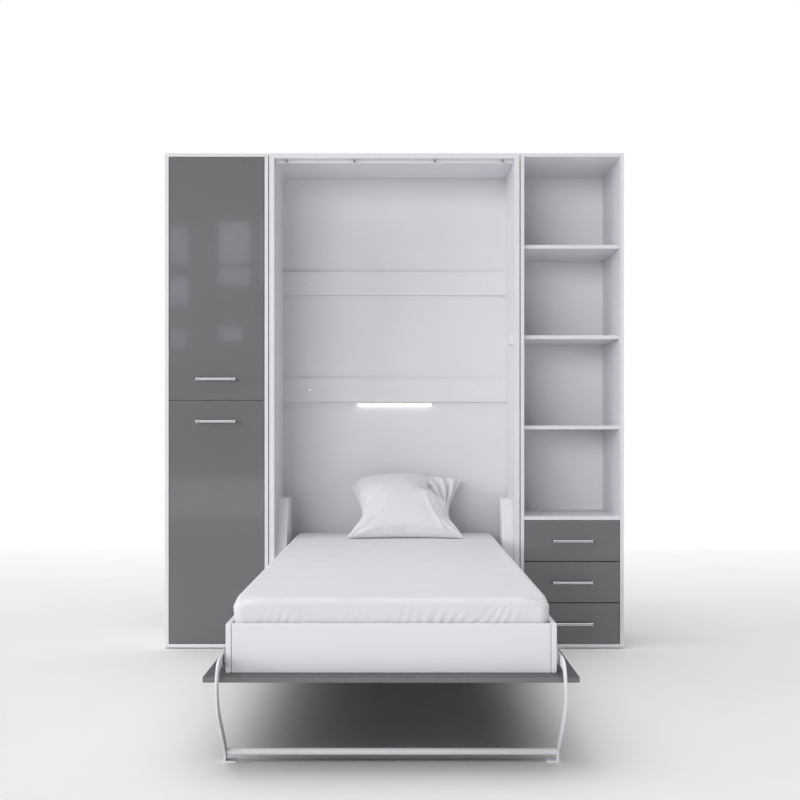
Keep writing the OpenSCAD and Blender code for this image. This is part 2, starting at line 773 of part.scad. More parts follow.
// The screw flange lies on the cabinet's side in front of the slanting wall
front_corner = [housing_front, housing_rise];
front_start = nose_r * [cos(tangent_angle(nose_r, front_corner)), sin(tangent_angle(nose_r, front_corner))];
front_along = (front_corner - front_start) / norm(front_corner - front_start);
front_out = [-front_along[1], front_along[0]];
module housing_flange() {
    root = -housing_wall / 2 * front_out;
    low = front_start + 30 * front_along;
    translate([pivot_in, pivot_z]) polygon([low + root, low + flange_w * front_out + 20 * front_along,
        front_corner + flange_w * front_out - 10 * front_along,
        front_corner + flange_w * 0.6 * front_out - front_along, front_corner + root - front_along]);
}
module hinge_housings() {
    notch = 6;
    color(white) place() both_sides() {
        difference() {
            side_plate(housing_x, housing_w) housing_outline(0);
            side_plate(housing_x + housing_wall, housing_w) housing_outline(housing_wall);
            bar_x([housing_x - 1, pivot_in, pivot_z], shaft_r + run_gap + bush_wall, housing_wall + 2);
            translate([housing_x - 1, pivot_in + housing_back - notch, stud_z - 16])
                cube([notch * 2, notch * 2, notch]);
        }
        side_plate(bed_in_x - housing_wall, housing_wall) housing_flange();
        bar_x([housing_x + housing_wall, stud_y, stud_z], stud_r, housing_w - housing_wall);
    }
}

// Screws along the flange
module housing_screws() {
    head_r = 4;
    head_t = 1.5;
    color(steel) place() both_sides() for (i = [0:2]) {
        d = screw_first + screw_pitch * i;
        p = front_corner - d * front_along + 0.55 * flange_w * front_out;
        bar_x([bed_in_x - housing_wall - head_t, pivot_in + p[0], pivot_z + p[1]], head_r, head_t);
    }
}
module pivot_bushes() {
    bush_l = housing_wall + 4;
    color(grey) place() both_sides() difference() {
        bar_x([housing_x - 1.5, pivot_in, pivot_z], shaft_r + run_gap + bush_wall, bush_l);
        bar_x([housing_x - 3, pivot_in, pivot_z], shaft_r + run_gap, bush_l + 3);
    }
}

// Gas struts: drawn along +X of a local side view that starts at the fixed stud
module along_strut() {
    translate([0, stud_y, stud_z]) rotate([strut_turn, 0, 0]) children();
}
module strut_cylinders() {
    end_gap = 1;
    color(grey) place() both_sides() along_strut() difference() {
        union() {
            bar_x([eye_x, 0, 0], eye_r, eye_w);
            bar_y([strut_x, eye_r - 2, 0], rod_r, 6);
            bar_y([strut_x, eye_r + end_gap, 0], strut_r, strut_l);
        }
        bar_x([eye_x - 1, 0, 0], stud_r + run_gap, eye_w + 2);
        bar_y([strut_x, strut_l - rod_inside - 6, 0], rod_r + run_gap, rod_inside + 40);
    }
}
module strut_rods() {
    start = eye_r + strut_l - rod_inside;
    color(steel) place() both_sides() along_strut() difference() {
        union() {
            bar_y([strut_x, start, 0], rod_r, strut_reach - start - eye_r / 2);
            bar_x([eye_x, strut_reach, 0], eye_r, eye_w);
        }
        bar_x([eye_x - 1, strut_reach, 0], stud_r + run_gap, eye_w + 2);
    }
}

// Front panel: two boards whose joint lines up with the doors' split when it is closed
panel_split_y = pivot_in + pivot_z - split_z;
module front_panel() {
    color(grey) place() {
        block([-panel_x, panel_y0, panel_z0], [panel_x, panel_split_y - split_gap / 2, panel_z1]);
        block([-panel_x, panel_split_y + split_gap / 2, panel_z0], [panel_x, panel_y1, panel_z1]);
    }
}
module panel_handle() {
    color(steel) place() translate([0, panel_split_y - handle_off, panel_z0])
        rotate([90, 0, 0]) mirror([0, 0, 1]) bar_handle();
}
module bed_side_boards() {
    color(white) place() both_sides()
        block([bed_w / 2, foot_y0, panel_z1], [frame_x, head_y1, panel_z1 + bed_board_h]);
}
module end_board(y) {
    color(white) place() block([-bed_w / 2, y, panel_z1], [bed_w / 2, y + bed_board_t, panel_z1 + bed_board_h]);
}
module foot_board() { end_board(foot_y0); }
module head_board() { end_board(head_y0); }
module slat_ledgers() {
    color("burlywood") place() both_sides()
        block([bed_w / 2 - ledger_w, foot_y1, panel_z1], [bed_w / 2, head_y0, ledger_z1]);
}
module slats() {
    pitch = bed_l / slat_n;
    color("burlywood") place() for (i = [0:slat_n - 1]) {
        y = foot_y1 + pitch * (i + 0.5);
        block([-bed_w / 2 + 1, y - slat_w / 2, ledger_z1], [bed_w / 2 - 1, y + slat_w / 2, mattress_z0]);
    }
}

// Pivot bracket: a plate on the side board, the shaft through the bush, and the crank
module pivot_brackets() {
    boss_r = 8;
    plate_l = 150;
    color(steel) place() both_sides() {
        side_plate(frame_x, bracket_t) {
            translate([pivot_in, pivot_z]) circle(r = bracket_r);
            translate([pivot_in - plate_l / 3, panel_z1 + 4]) square([plate_l, bed_board_h - 24]);
        }
        bar_x([frame_x + bracket_t - eps, pivot_in, pivot_z], shaft_r, crank_x - frame_x - bracket_t + crank_t);
        side_plate(crank_x, crank_t) {
            translate([pivot_in, pivot_z]) circle(r = shaft_r + 6);
            translate([pivot_in, pivot_z]) rotate(crank_angle) translate([0, -boss_r]) square([crank_r, 2 * boss_r]);
            translate([crank_y, crank_z]) circle(r = boss_r);
        }
        bar_x([crank_x + crank_t - eps, crank_y, crank_z], stud_r, 4);
    }
}

// Leg plate with its rivet
module leg_plates() {
    plate_l = 170;
    plate_h = 68;
    corner_r = 28;
    low = panel_z1 + 3;
    front = foot_y0 + 3;
    color(steel) place() both_sides() {
        side_plate(frame_x, leg_plate_t) difference() {
            translate([front, low]) square([plate_l, plate_h]);
            translate([front, low]) difference() {
                square(corner_r);
                translate([corner_r, corner_r]) circle(r = corner_r);
            }
        }
        bar_x([frame_x + leg_plate_t - eps, -leg_s, leg_z], leg_pin_r + 4, leg_x - frame_x - leg_plate_t + eps);
        bar_x([leg_x - eps, -leg_s, leg_z], leg_pin_r, leg_t + 0.3 + 2 * eps);
        bar_x([leg_x + leg_t + 0.3, -leg_s, leg_z], leg_pin_r + 3, 2.5);
    }
}

// Leg arm, drawn with s forward from the front plane: stations along its centreline, each a
// point and a heading, give both edges of the bar
arc_steps = 8;
function arc_stations(c, r, from, to, turn) = [for (k = [0:arc_steps])
    let (a = from + (to - from) * k / arc_steps) [c + r * [cos(a), sin(a)], a + turn]];
leg_stations = concat([[[leg_s, leg_z], 0]],
    arc_stations([bend_s, bow_z], leg_bend_r, 90, 0, -90),
    arc_stations([bow_s, bow_z], leg_bow_r, 0, -leg_lean, -90),
    arc_stations([foot_s + leg_ankle_r, ankle_z], leg_ankle_r, 180 - leg_lean, 180, 90),
    [[[foot_s, 0], -90]]);
function leg_edge(side) = [for (st = leg_stations)
    st[0] + side * leg_w / 2 * [-sin(st[1]), cos(st[1])]];
function backwards(list) = [for (i = [len(list) - 1:-1:0]) list[i]];
leg_round_end = [for (a = [105:15:255]) [leg_s, leg_z] + leg_w / 2 * [cos(a), sin(a)]];
module leg_arm() {
    difference() {
        union() {
            linear_extrude(leg_t) polygon(concat(backwards(leg_edge(1)), leg_round_end, leg_edge(-1)));
            translate([foot_s - leg_w / 2, 0, leg_t - foot_l]) cube([leg_w, foot_t, foot_l]);
        }
        translate([leg_s, leg_z, -1]) cylinder(r = leg_pin_r + run_gap, h = leg_t + 2);
    }
}
module leg_arms() {
    color(white) place() both_sides()
        translate([leg_x, 0, 0]) rotate([90, 0, 90]) mirror([1, 0, 0]) leg_arm();
}
module leg_tube() { color(white) place() bar_x([-leg_x, -tube_s, tube_z], tube_r, 2 * leg_x); }

// Soft forms are closed skins of triangles through stacked rings of equal length
function flat(lists) = [for (l = lists) for (p = l) p];
module ringed(rings) {
    n = len(rings[0]);
    m = len(rings);
    pts = concat(flat(rings), [middle(rings[0]), middle(rings[m - 1])]);
    sides = [for (j = [0:m - 2], i = [0:n - 1]) let (a = j * n + i, b = j * n + (i + 1) % n)
        each [[a, a + n, b], [b, a + n, b + n]]];
    low = [for (i = [0:n - 1]) [i, (i + 1) % n, m * n]];
    high = [for (i = [0:n - 1]) [(m - 1) * n + i, m * n + 1, (m - 1) * n + (i + 1) % n]];
    polyhedron(points = pts, faces = concat(sides, low, high));
}
function middle(ring) = [for (k = [0:2]) ring_sum(ring, k) / len(ring)];
function ring_sum(ring, k, i = 0) = i == len(ring) ? 0 : ring[i][k] + ring_sum(ring, k, i + 1);

// A rounded rectangle at one height, with corners of radius r
corner_steps = 6;
function rounded_ring(hx, y0, y1, r, z) = [for (q = [0:3], k = [0:corner_steps])
    let (a = 90 * q + 90 * k / corner_steps,
        cx = (q == 0 || q == 3) ? hx - r : r - hx,
        cy = q < 2 ? y1 - r : y0 + r)
    [cx + r * cos(a), cy + r * sin(a), z]];

// Mattress in a fitted sheet: rolled edges, sides drawn in at half height, a low crown
edge_r = 30;
mattress_corner_r = 28;
waist = 3;
crown = 4;
function mattress_ring(in, z) = rounded_ring(bed_w / 2 - mattress_gap - in,
    foot_y1 + mattress_gap + in, head_y0 - mattress_gap - in, max(mattress_corner_r - in / 2, 12), z);
module mattress() {
    shoulder = mattress_z1 - crown - edge_r;
    half = (mattress_z0 + shoulder) / 2;
    low = [mattress_ring(8, mattress_z0 + 0.3), mattress_ring(0, mattress_z0 + 12),
        mattress_ring(waist, half), mattress_ring(0, shoulder)];
    roll = [for (a = [22.5:22.5:90]) mattress_ring(edge_r * (1 - cos(a)), shoulder + edge_r * sin(a))];
    top = [for (t = [0.5, 1]) mattress_ring(edge_r + t * bed_w * 0.28, mattress_z1 - crown * (1 - t))];
    color(white) place() ringed(concat(low, roll, top));
}

// Pillow in its case, leaning on the back: u runs across it from -1 to 1 and v up it from 0 to 1
pillow_gap = 0.3;
pillow_rows = 20;
pillow_across = 24;
seam_t = 2.2;
pillow_foot = [-pillow_front, mattress_z1 + pillow_gap + seam_t];
pillow_l = norm([pillow_d, pillow_h]);
pillow_along = [pillow_d, pillow_h] / pillow_l;
pillow_out = [-pillow_along[1], pillow_along[0]];
function ease(x, low, high) = let (t = min(1, max(0, (x - low) / (high - low)))) t * t * (3 - 2 * t);

// The case hangs empty in its open upper right corner
function stuffed_to(v) = 1 - 0.6 * ease(v, 0.36, 0.66);
function pillow_full(u, v) =
    let (w = min(1, (u + 1) / (stuffed_to(v) + 1)))
    pow(max(0, 1 - pow(abs(2 * w - 1), 2.8)), 0.6) * pow(sin(180 * v), 0.55);
function loose(u, v) =
    ease(u, stuffed_to(v) - 0.02, stuffed_to(v) + 0.16) * ease(v, 0.42, 0.6);

// The sides come in between the corners, and the upper left corner is round
function drawn_in(u, v) =
    let (k = u < 0 ? max(0, (v - 0.86) / 0.14) : 0)
    abs(u) * (0.1 * pillow_w * pow(sin(180 * pow(v, 0.75)), 1.5) + 0.06 * pillow_w * (1 - sqrt(1 - k * k)));
function top_drop(u) = pillow_w * (u < 0 ? 0.104 * pow(-u, 3) : 0.068 * pow(u, 1.6));
function pillow_point(u, v, side) =
    let (start = 0.02 * pillow_w * (1 - u * u),
        s = start + v * (pillow_l - top_drop(u) - start),
        lift = side * (pillow_t / 2 * pillow_full(u, v) + seam_t) - 0.068 * pillow_w * loose(u, v),
        p = pillow_foot + s * pillow_along + lift * pillow_out)
    [pillow_x + u * pillow_w / 2 - sign(u) * drawn_in(u, v), p[0], max(p[1], mattress_z1 + pillow_gap)];
function pillow_ring(v) = concat(
    [for (i = [0:pillow_across]) pillow_point(2 * i / pillow_across - 1, v, 1)],
    [for (i = [pillow_across:-1:0]) pillow_point(2 * i / pillow_across - 1, v, -1)]);
module pillow() {
    color("white") place() ringed([for (j = [0:pillow_rows]) pillow_ring(0.01 + 0.98 * j / pillow_rows)]);
}

left_sides();
right_sides();
side_cabinet_tops();
side_cabinet_bottoms();
side_cabinet_backs();
fixed_shelves();
shelves();
shelf_pins();
connector_screws();
floor_glides();
upper_door();
lower_door();
upper_door_handle();
lower_door_handle();
upper_hinge_cups();
lower_hinge_cups();
hinge_arms();
top_drawer_front();
top_drawer_box();
top_drawer_handle();
top_drawer_slides();
middle_drawer_front();
middle_drawer_box();
middle_drawer_handle();
middle_drawer_slides();
bottom_drawer_front();
bottom_drawer_box();
bottom_drawer_handle();
bottom_drawer_slides();
drawer_rails();
bed_cabinet_sides();
bed_cabinet_top();
bed_cabinet_base();
bed_cabinet_back();
back_joint_strip();
wall_rails();
stop_strip();
stop_buffers();
lamp_body();
lamp_diffuser();
switch_box();
switch_rocker();
hinge_housings();
housing_screws();
pivot_bushes();
strut_cylinders();
strut_rods();
front_panel();
panel_handle();
bed_side_boards();
foot_board();
head_board();
slat_ledgers();
slats();
pivot_brackets();
leg_plates();
mattress();
pillow();
leg_arms();
leg_tube();
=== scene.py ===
"""Dresses a fold-down wall bed between a two-door cupboard and an open shelf unit with drawers."""

import json
import math

import bmesh
import bpy
import numpy as np
from mathutils import Matrix, Vector, noise


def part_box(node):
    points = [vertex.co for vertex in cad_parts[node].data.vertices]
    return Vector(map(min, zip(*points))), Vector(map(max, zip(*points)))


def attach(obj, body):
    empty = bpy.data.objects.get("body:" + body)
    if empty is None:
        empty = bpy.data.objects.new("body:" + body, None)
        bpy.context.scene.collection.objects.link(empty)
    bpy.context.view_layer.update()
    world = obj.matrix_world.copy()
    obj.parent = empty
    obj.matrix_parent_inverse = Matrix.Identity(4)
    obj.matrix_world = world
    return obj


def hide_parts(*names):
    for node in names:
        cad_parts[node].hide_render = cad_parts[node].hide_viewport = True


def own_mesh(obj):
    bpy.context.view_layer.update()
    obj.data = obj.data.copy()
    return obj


bl_info = {
    "name": "Wall bed",
    "version": (1, 0, 0),
    "blender": (4, 5, 0),
    "location": "3D View > Sidebar > Wall bed",
    "description": "Finishes, bedding and studio for a fold-down wall bed",
    "category": "Object",
}

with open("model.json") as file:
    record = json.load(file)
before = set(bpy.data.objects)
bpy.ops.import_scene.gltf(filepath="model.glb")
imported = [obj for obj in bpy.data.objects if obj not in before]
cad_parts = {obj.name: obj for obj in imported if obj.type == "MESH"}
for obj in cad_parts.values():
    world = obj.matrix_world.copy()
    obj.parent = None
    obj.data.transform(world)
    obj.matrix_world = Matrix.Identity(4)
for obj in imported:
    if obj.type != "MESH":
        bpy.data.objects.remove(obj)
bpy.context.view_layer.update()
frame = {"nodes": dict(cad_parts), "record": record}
nodes = frame["nodes"]
bodies = {node: body for body, names in frame["record"]["behaviour"]["bodies"].items() for node in names}
slots = {row["node"]: row["material_slot"] for row in frame["record"]["subparts"]}
DRAWERS = ("top", "middle", "bottom")
# The values of noise that a finish spreads over its span
NOISE_SPAN = (0.3, 0.7)
# Edges with a sharper turn are eased, and points closer than the weld distance count as one
SHARP = math.radians(35)
WELD = 1e-6


# Sizes and colours a user would change
def color_setting(name, description, default):
    return bpy.props.FloatVectorProperty(
        name=name, description=description, subtype="COLOR", size=3, min=0, max=1, default=default)


def length_setting(name, description, default, **limits):
    return bpy.props.FloatProperty(
        name=name, description=description, unit="LENGTH", default=default, **limits)


def number_setting(name, description, default):
    return bpy.props.FloatProperty(name=name, description=description, default=default)


class WallBedFinishes(bpy.types.PropertyGroup):
    """Colours and edges of the boards and the metal"""

    white: color_setting("White board", "Colour of the white melamine", (0.775, 0.781, 0.808))
    grey: color_setting("Grey lacquer", "Colour of the gloss fronts", (0.139, 0.138, 0.149))
    steel_white: color_setting("White steel", "Colour of the powder coat", (0.76, 0.768, 0.797))
    beech: color_setting("Beech", "Colour of the slats", (0.58, 0.40, 0.23))
    fibre: color_setting("Fibreboard", "Colour of the raw rear of the back panels", (0.33, 0.21, 0.12))
    edge: length_setting("Eased edge", "Rounding of the boards' edges", 0.0013, min=0.0002, max=0.003)


class WallBedHandles(bpy.types.PropertyGroup):
    """Sizes of the bar handles"""

    length: length_setting("Length", "Length of a handle bar", 0.176, min=0.1, max=0.3)
    pitch: length_setting("Pitch", "Distance between the posts", 0.128, min=0.06, max=0.28)
    radius: length_setting("Radius", "Radius of the bar", 0.006, min=0.003, max=0.01)
    standoff: length_setting(
        "Standoff", "Distance from the face to the bar's axis", 0.027, min=0.015, max=0.05)


class WallBedLinen(bpy.types.PropertyGroup):
    """Bedding"""

    cotton: color_setting("Cotton", "Colour of the sheet and the pillow case", (0.722, 0.728, 0.755))
    edge_round: length_setting(
        "Mattress edge", "Radius of the mattress's top edge", 0.018, min=0.01, max=0.06)
    corner_round: length_setting(
        "Mattress corner", "Radius of the mattress's corners", 0.028, min=0.01, max=0.1)
    pleat: length_setting("Pleats", "Depth of the sheet's pleats at the foot end", 0.0011, min=0, max=0.01)
    corner_drop: length_setting(
        "Corner drop", "How far the sheet pulls the foot corners down", 0.013, min=0, max=0.04)
    bulge: length_setting(
        "Bulge", "How far the mattress stands out over the bed's boards", 0.003, min=0, max=0.006)
    plump: length_setting("Plumpness", "Half thickness of the pillow", 0.078, min=0.03, max=0.12)
    seed: bpy.props.IntProperty(name="Seed", description="Seed of the wrinkles", default=7, min=0)


class WallBedStage(bpy.types.PropertyGroup):
    """Camera and light"""

    camera_x: length_setting("Camera side", "Camera's place to the right of the middle", 0.0245)
    camera_z: length_setting("Camera height", "Camera's height", 0.953)
    camera_d: length_setting("Camera distance", "Distance to the cabinets' front", 4.843)
    lens: number_setting("Lens", "Focal length in millimetres", 50.0)
    horizon: number_setting("Horizon", "Upward shift as a share of the frame", 0.0375)
    floor_d: length_setting("Floor's reach", "Distance from the camera to the floor's far edge", 8.9)
    key: number_setting("Key light", "Power of the wide light left of the camera", 2020.0)
    side: number_setting("Side light", "Power of the light from the far left", 570.0)
    fill: number_setting("Fill light", "Power of the light from the right", 85.0)
    shelf: number_setting("Shelf light", "Power of the light on the shelves' backs", 200.0)
    above: number_setting("Floor light", "Power of the light on the floor", 150.0)
    sky: number_setting("Sky", "Strength of the soft light from above", 1.88)
    window: number_setting("Window", "Glow of the window in the gloss", 3.2)


# Shared helpers
def settings(name):
    return getattr(bpy.context.scene, name)


def lowest(node):
    return Vector(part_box(node)[0])


def highest(node):
    return Vector(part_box(node)[1])


def middle(node):
    return (lowest(node) + highest(node)) / 2


def link(name, mesh):
    obj = bpy.data.objects.new(name, mesh)
    bpy.context.scene.collection.objects.link(obj)
    return obj


def plain_mesh(obj):
    """The object's mesh with its modifiers applied."""
    graph = bpy.context.evaluated_depsgraph_get()
    return bpy.data.meshes.new_from_object(obj.evaluated_get(graph), depsgraph=graph)


def paint(obj, node):
    """Gives a piece the material of a node's slot."""
    obj.data.materials.clear()
    obj.data.materials.append(materials[slots[node]])


def dress(obj, node):
    """Attaches a piece to the body of the node that it stands for, and hides the node's CAD part."""
    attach(obj, bodies[node])
    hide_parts(node)


def step(tree, kind, inputs=None, **attributes):
    """Adds a node to a tree; inputs are values, output sockets, or nodes whose first output feeds it."""
    node = tree.nodes.new(kind)
    for key, value in attributes.items():
        setattr(node, key, value)
    for key, value in (inputs or {}).items():
        if isinstance(value, bpy.types.Node):
            value = value.outputs[0]
        if isinstance(value, bpy.types.NodeSocket):
            tree.links.new(value, node.inputs[key])
        else:
            node.inputs[key].default_value = value
    return node


# Materials
def new_material(name, color, roughness, **sockets):
    """A plain material; sockets are further values of its shader."""
    mat = bpy.data.materials.new(name)
    mat.use_nodes = True
    shader = mat.node_tree.nodes["Principled BSDF"]
    shader.inputs["Base Color"].default_value = (*color, 1)
    shader.inputs["Roughness"].default_value = roughness
    for key, value in sockets.items():
        shader.inputs[key.replace("_", " ")].default_value = value
    return mat


def feed(mat, output, target):
    """Wires an output to a socket of the material's shader."""
    mat.node_tree.links.new(output, mat.node_tree.nodes["Principled BSDF"].inputs[target])


def coordinates(mat, scale=(1, 1, 1), turn=(0, 0, 0)):
    """Object coordinates through a Mapping node."""
    place = step(mat.node_tree, "ShaderNodeTexCoord")
    return step(mat.node_tree, "ShaderNodeMapping", {
        "Vector": place.outputs["Object"], "Scale": scale, "Rotation": turn}).outputs["Vector"]


def noise_field(mat, vector, scale, detail=3.0, roughness=0.5, distortion=0.0):
    return step(mat.node_tree, "ShaderNodeTexNoise", {
        "Vector": vector, "Scale": scale, "Detail": detail, "Roughness": roughness,
        "Distortion": distortion}).outputs["Fac"]


def vary_color(mat, factor, low, high):
    ramp = step(mat.node_tree, "ShaderNodeValToRGB", {"Fac": factor})
    for end, place, color in zip(ramp.color_ramp.elements, NOISE_SPAN, (low, high)):
        end.position = place
        end.color = (*color, 1)
    feed(mat, ramp.outputs["Color"], "Base Color")


def vary_value(mat, factor, low, high):
    span = step(mat.node_tree, "ShaderNodeMapRange", {
        "Value": factor, "From Min": NOISE_SPAN[0], "From Max": NOISE_SPAN[1], "To Min": low, "To Max": high})
    feed(mat, span.outputs["Result"], "Roughness")


def add_bump(mat, height, distance, strength):
    """Adds a bump after the ones that the shader already has."""
    normal = mat.node_tree.nodes["Principled BSDF"].inputs["Normal"]
    inputs = {"Strength": strength, "Distance": distance, "Height": height}
    if normal.is_linked:
        inputs["Normal"] = normal.links[0].from_socket
    feed(mat, step(mat.node_tree, "ShaderNodeBump", inputs).outputs["Normal"], "Normal")


def shade(color, share):
    return tuple(min(1.0, c * share) for c in color)


def finish(name, color, roughness, tone=None, polish=None, relief=None, scale=(1, 1, 1), **sockets):
    """A material whose tone, polish and relief follow noise.

    Each is a row of the noise's scale and detail, and then the low and high share of the colour, the low
    and high roughness, or the depth and strength of the relief.
    """
    mat = new_material(name, color, roughness, **sockets)
    at = coordinates(mat, scale)
    if tone:
        vary_color(mat, noise_field(mat, at, *tone[:2]), shade(color, tone[2]), shade(color, tone[3]))
    if polish:
        vary_value(mat, noise_field(mat, at, *polish[:2]), *polish[2:])
    if relief:
        add_bump(mat, noise_field(mat, at, *relief[:2]), *relief[2:])
    return mat


def make_white_board(color):
    return finish("White melamine", color, 0.38, (3.0, 2, 0.985, 1.015), (40.0, 4, 0.34, 0.44),
                  (900.0, 2, 0.00002, 0.06), IOR=1.5)


def make_grey_lacquer(color):
    return finish("Grey gloss lacquer", color, 0.09, (2.0, 2, 0.97, 1.03), (25.0, 3, 0.07, 0.13),
                  (130.0, 2, 0.0002, 0.03), IOR=1.52, Coat_Weight=0.6, Coat_Roughness=0.03)


def make_matte_grey(color):
    """The plain inner face of a gloss front."""
    return finish("Grey melamine", color, 0.55, (3.0, 2, 0.98, 1.02), (40.0, 4, 0.5, 0.6),
                  Specular_IOR_Level=0.3)


def make_chrome():
    return finish("Polished chrome", (0.66, 0.67, 0.70), 0.12, polish=(220.0, 4, 0.08, 0.2), Metallic=1.0)


def make_zinc():
    mat = new_material("Zinc plated steel", (0.55, 0.56, 0.58), 0.34, Metallic=0.9)
    at = coordinates(mat)
    vary_color(mat, noise_field(mat, at, 60.0, 5), (0.46, 0.47, 0.5), (0.62, 0.62, 0.62))
    vary_value(mat, noise_field(mat, at, 140.0, 4), 0.26, 0.44)
    return mat


def make_powder_coat(name, color):
    return finish(name, color, 0.42, (8.0, 2, 0.98, 1.02), (60.0, 3, 0.36, 0.48), (700.0, 3, 0.0001, 0.3))


def make_plastic(name, color, roughness):
    return finish(name, color, roughness, polish=(80.0, 3, roughness * 0.85, roughness * 1.2),
                  relief=(1200.0, 2, 0.00003, 0.4))


def make_aluminium():
    return finish("Anodised aluminium", (0.84, 0.85, 0.87), 0.4, polish=(6.0, 4, 0.24, 0.36),
                  scale=(4, 220, 220), Metallic=0.45)


def make_lamp_lens():
    return finish("Lit diffuser", (0.95, 0.96, 1.0), 0.4, polish=(300.0, 2, 0.35, 0.45),
                  Emission_Color=(0.93, 0.96, 1.0, 1), Emission_Strength=1.5)


def make_beech(color):
    mat = new_material("Beech", color, 0.45)
    grain = noise_field(mat, coordinates(mat, scale=(0.6, 14, 30)), 5.0, 6, 0.6, 0.8)
    vary_color(mat, grain, shade(color, 0.72), shade(color, 1.18))
    vary_value(mat, grain, 0.38, 0.52)
    add_bump(mat, grain, 0.0002, 0.3)
    return mat


def make_fibreboard(color):
    mat = new_material("Raw fibreboard", color, 0.75)
    at = coordinates(mat)
    vary_color(mat, noise_field(mat, at, 260.0, 6, 0.7), shade(color, 0.75), shade(color, 1.25))
    add_bump(mat, noise_field(mat, at, 500.0, 4), 0.0002, 0.4)
    return mat


def make_cotton(name, color, thread):
    """Plain weave: two sets of threads crossing, with soft crumples and a little sheen."""
    mat = new_material(name, color, 0.86, Sheen_Weight=0.06, Sheen_Roughness=0.5)
    at = coordinates(mat)
    vary_color(mat, noise_field(mat, at, 14.0, 4), shade(color, 0.975), shade(color, 1.02))
    for turn in (0, math.pi / 2):
        waves = step(mat.node_tree, "ShaderNodeTexWave", {
            "Vector": coordinates(mat, turn=(0, 0, turn)), "Scale": 2 / thread / math.tau,
            "Distortion": 0.6, "Detail": 1.0})
        add_bump(mat, waves.outputs["Fac"], 0.00005, 0.25)
    add_bump(mat, noise_field(mat, at, 55.0, 4, 0.55), 0.0006, 0.25)
    return mat


materials = {}


def make_materials():
    """Makes every material, under the name of its slot."""
    f = settings("wall_bed_finishes")
    white, grey, steel = tuple(f.white), tuple(f.grey), tuple(f.steel_white)
    cotton = tuple(settings("wall_bed_linen").cotton)
    materials.update({
        "white_board": make_white_board(white),
        "grey_gloss": make_grey_lacquer(grey),
        "grey_inside": make_matte_grey(shade(grey, 0.8)),
        "chrome": make_chrome(),
        "zinc_steel": make_zinc(),
        "white_steel": make_powder_coat("White powder coat", steel),
        "black_steel": make_powder_coat("Black strut paint", (0.02, 0.02, 0.022)),
        "dark_plastic": make_plastic("Dark plastic", (0.09, 0.09, 0.1), 0.5),
        "rubber": make_plastic("Buffer rubber", (0.34, 0.34, 0.35), 0.7),
        "lamp_metal": make_aluminium(),
        "lamp_lens": make_lamp_lens(),
        "switch_plastic": make_plastic("Switch plastic", (0.78, 0.79, 0.82), 0.3),
        "slat_wood": make_beech(tuple(f.beech)),
        "fibreboard": make_fibreboard(tuple(f.fibre)),
        "bed_linen": make_cotton("Cotton sheet", cotton, 0.0006),
        "pillow_cover": make_cotton("Cotton pillow case", shade(cotton, 1.02), 0.0005),
    })


# Eased copies of CAD boards
def merged_copy(node, name):
    """A copy of a node's mesh with its triangles merged into plain faces."""
    bm = bmesh.new()
    bm.from_mesh(nodes[node].data)
    bmesh.ops.remove_doubles(bm, verts=bm.verts, dist=WELD)
    bmesh.ops.dissolve_limit(bm, angle_limit=math.radians(0.5), verts=bm.verts, edges=bm.edges)
    mesh = bpy.data.meshes.new(name)
    bm.to_mesh(mesh)
    bm.free()
    return link(name, mesh)


def eased(node, width, segments=2, round_faces=False):
    """Replaces a CAD node by a copy with eased edges; round faces are shaded smooth between them."""
    obj = merged_copy(node, f"{node}_eased")
    paint(obj, node)
    for face in obj.data.polygons:
        face.use_smooth = round_faces
    bevel = obj.modifiers.new("Eased edges", "BEVEL")
    bevel.width = width
    bevel.segments = segments
    bevel.limit_method = "ANGLE"
    bevel.angle_limit = SHARP
    bevel.use_clamp_overlap = True
    bevel.harden_normals = round_faces
    dress(obj, node)
    return obj


def leave_joint(board, gap):
    """Shortens a board by the open joint at each end."""
    for vert in board.data.vertices:
        vert.co.x -= math.copysign(gap, vert.co.x)


# Geometry Nodes
def new_tree(name, sockets):
    """A geometry tree with a geometry in and out and named inputs."""
    tree = bpy.data.node_groups.new(name, "GeometryNodeTree")
    tree.interface.new_socket("Geometry", in_out="INPUT", socket_type="NodeSocketGeometry")
    for label, kind in sockets:
        tree.interface.new_socket(label, in_out="INPUT", socket_type=kind)
    tree.interface.new_socket("Geometry", in_out="OUTPUT", socket_type="NodeSocketGeometry")
    return tree, tree.nodes.new("NodeGroupInput"), tree.nodes.new("NodeGroupOutput")


def maths(tree, operation, a, b=0.0, c=0.5):
    return step(tree, "ShaderNodeMath", {0: a, 1: b, 2: c}, operation=operation)


def times(tree, a, b):
    return maths(tree, "MULTIPLY", a, b)


def close_tree(tree, out, geometry):
    """Realizes the instances, sets the material and closes the tree."""
    real = step(tree, "GeometryNodeRealizeInstances", {"Geometry": geometry})
    dressed = step(tree, "GeometryNodeSetMaterial", {
        "Geometry": real, "Material": tree.nodes["Group Input"].outputs["Material"]})
    tree.links.new(dressed.outputs[0], out.inputs["Geometry"])


def grow(tree, name, node, values, mesh=None):
    """Runs a tree on a mesh, or on an empty one, and returns the plain result in the node's material."""
    host = link(f"{name}_host", mesh or bpy.data.meshes.new(f"{name}_host"))
    modifier = host.modifiers.new("Tree", "NODES")
    modifier.node_group = tree
    values["Material"] = materials[slots[node]]
    for item in tree.interface.items_tree:
        if item.item_type == "SOCKET" and item.in_out == "INPUT" and item.name in values:
            modifier[item.identifier] = values[item.name]
    host.update_tag()
    result = plain_mesh(host)
    result.name = name
    bpy.data.objects.remove(host)
    if not result.polygons:
        raise RuntimeError(f"{name} came out empty")
    obj = link(name, result)
    paint(obj, node)
    return obj


def joined(tree, parts):
    both = step(tree, "GeometryNodeJoinGeometry")
    for part in parts:
        tree.links.new(part.outputs[0], both.inputs[0])
    return both


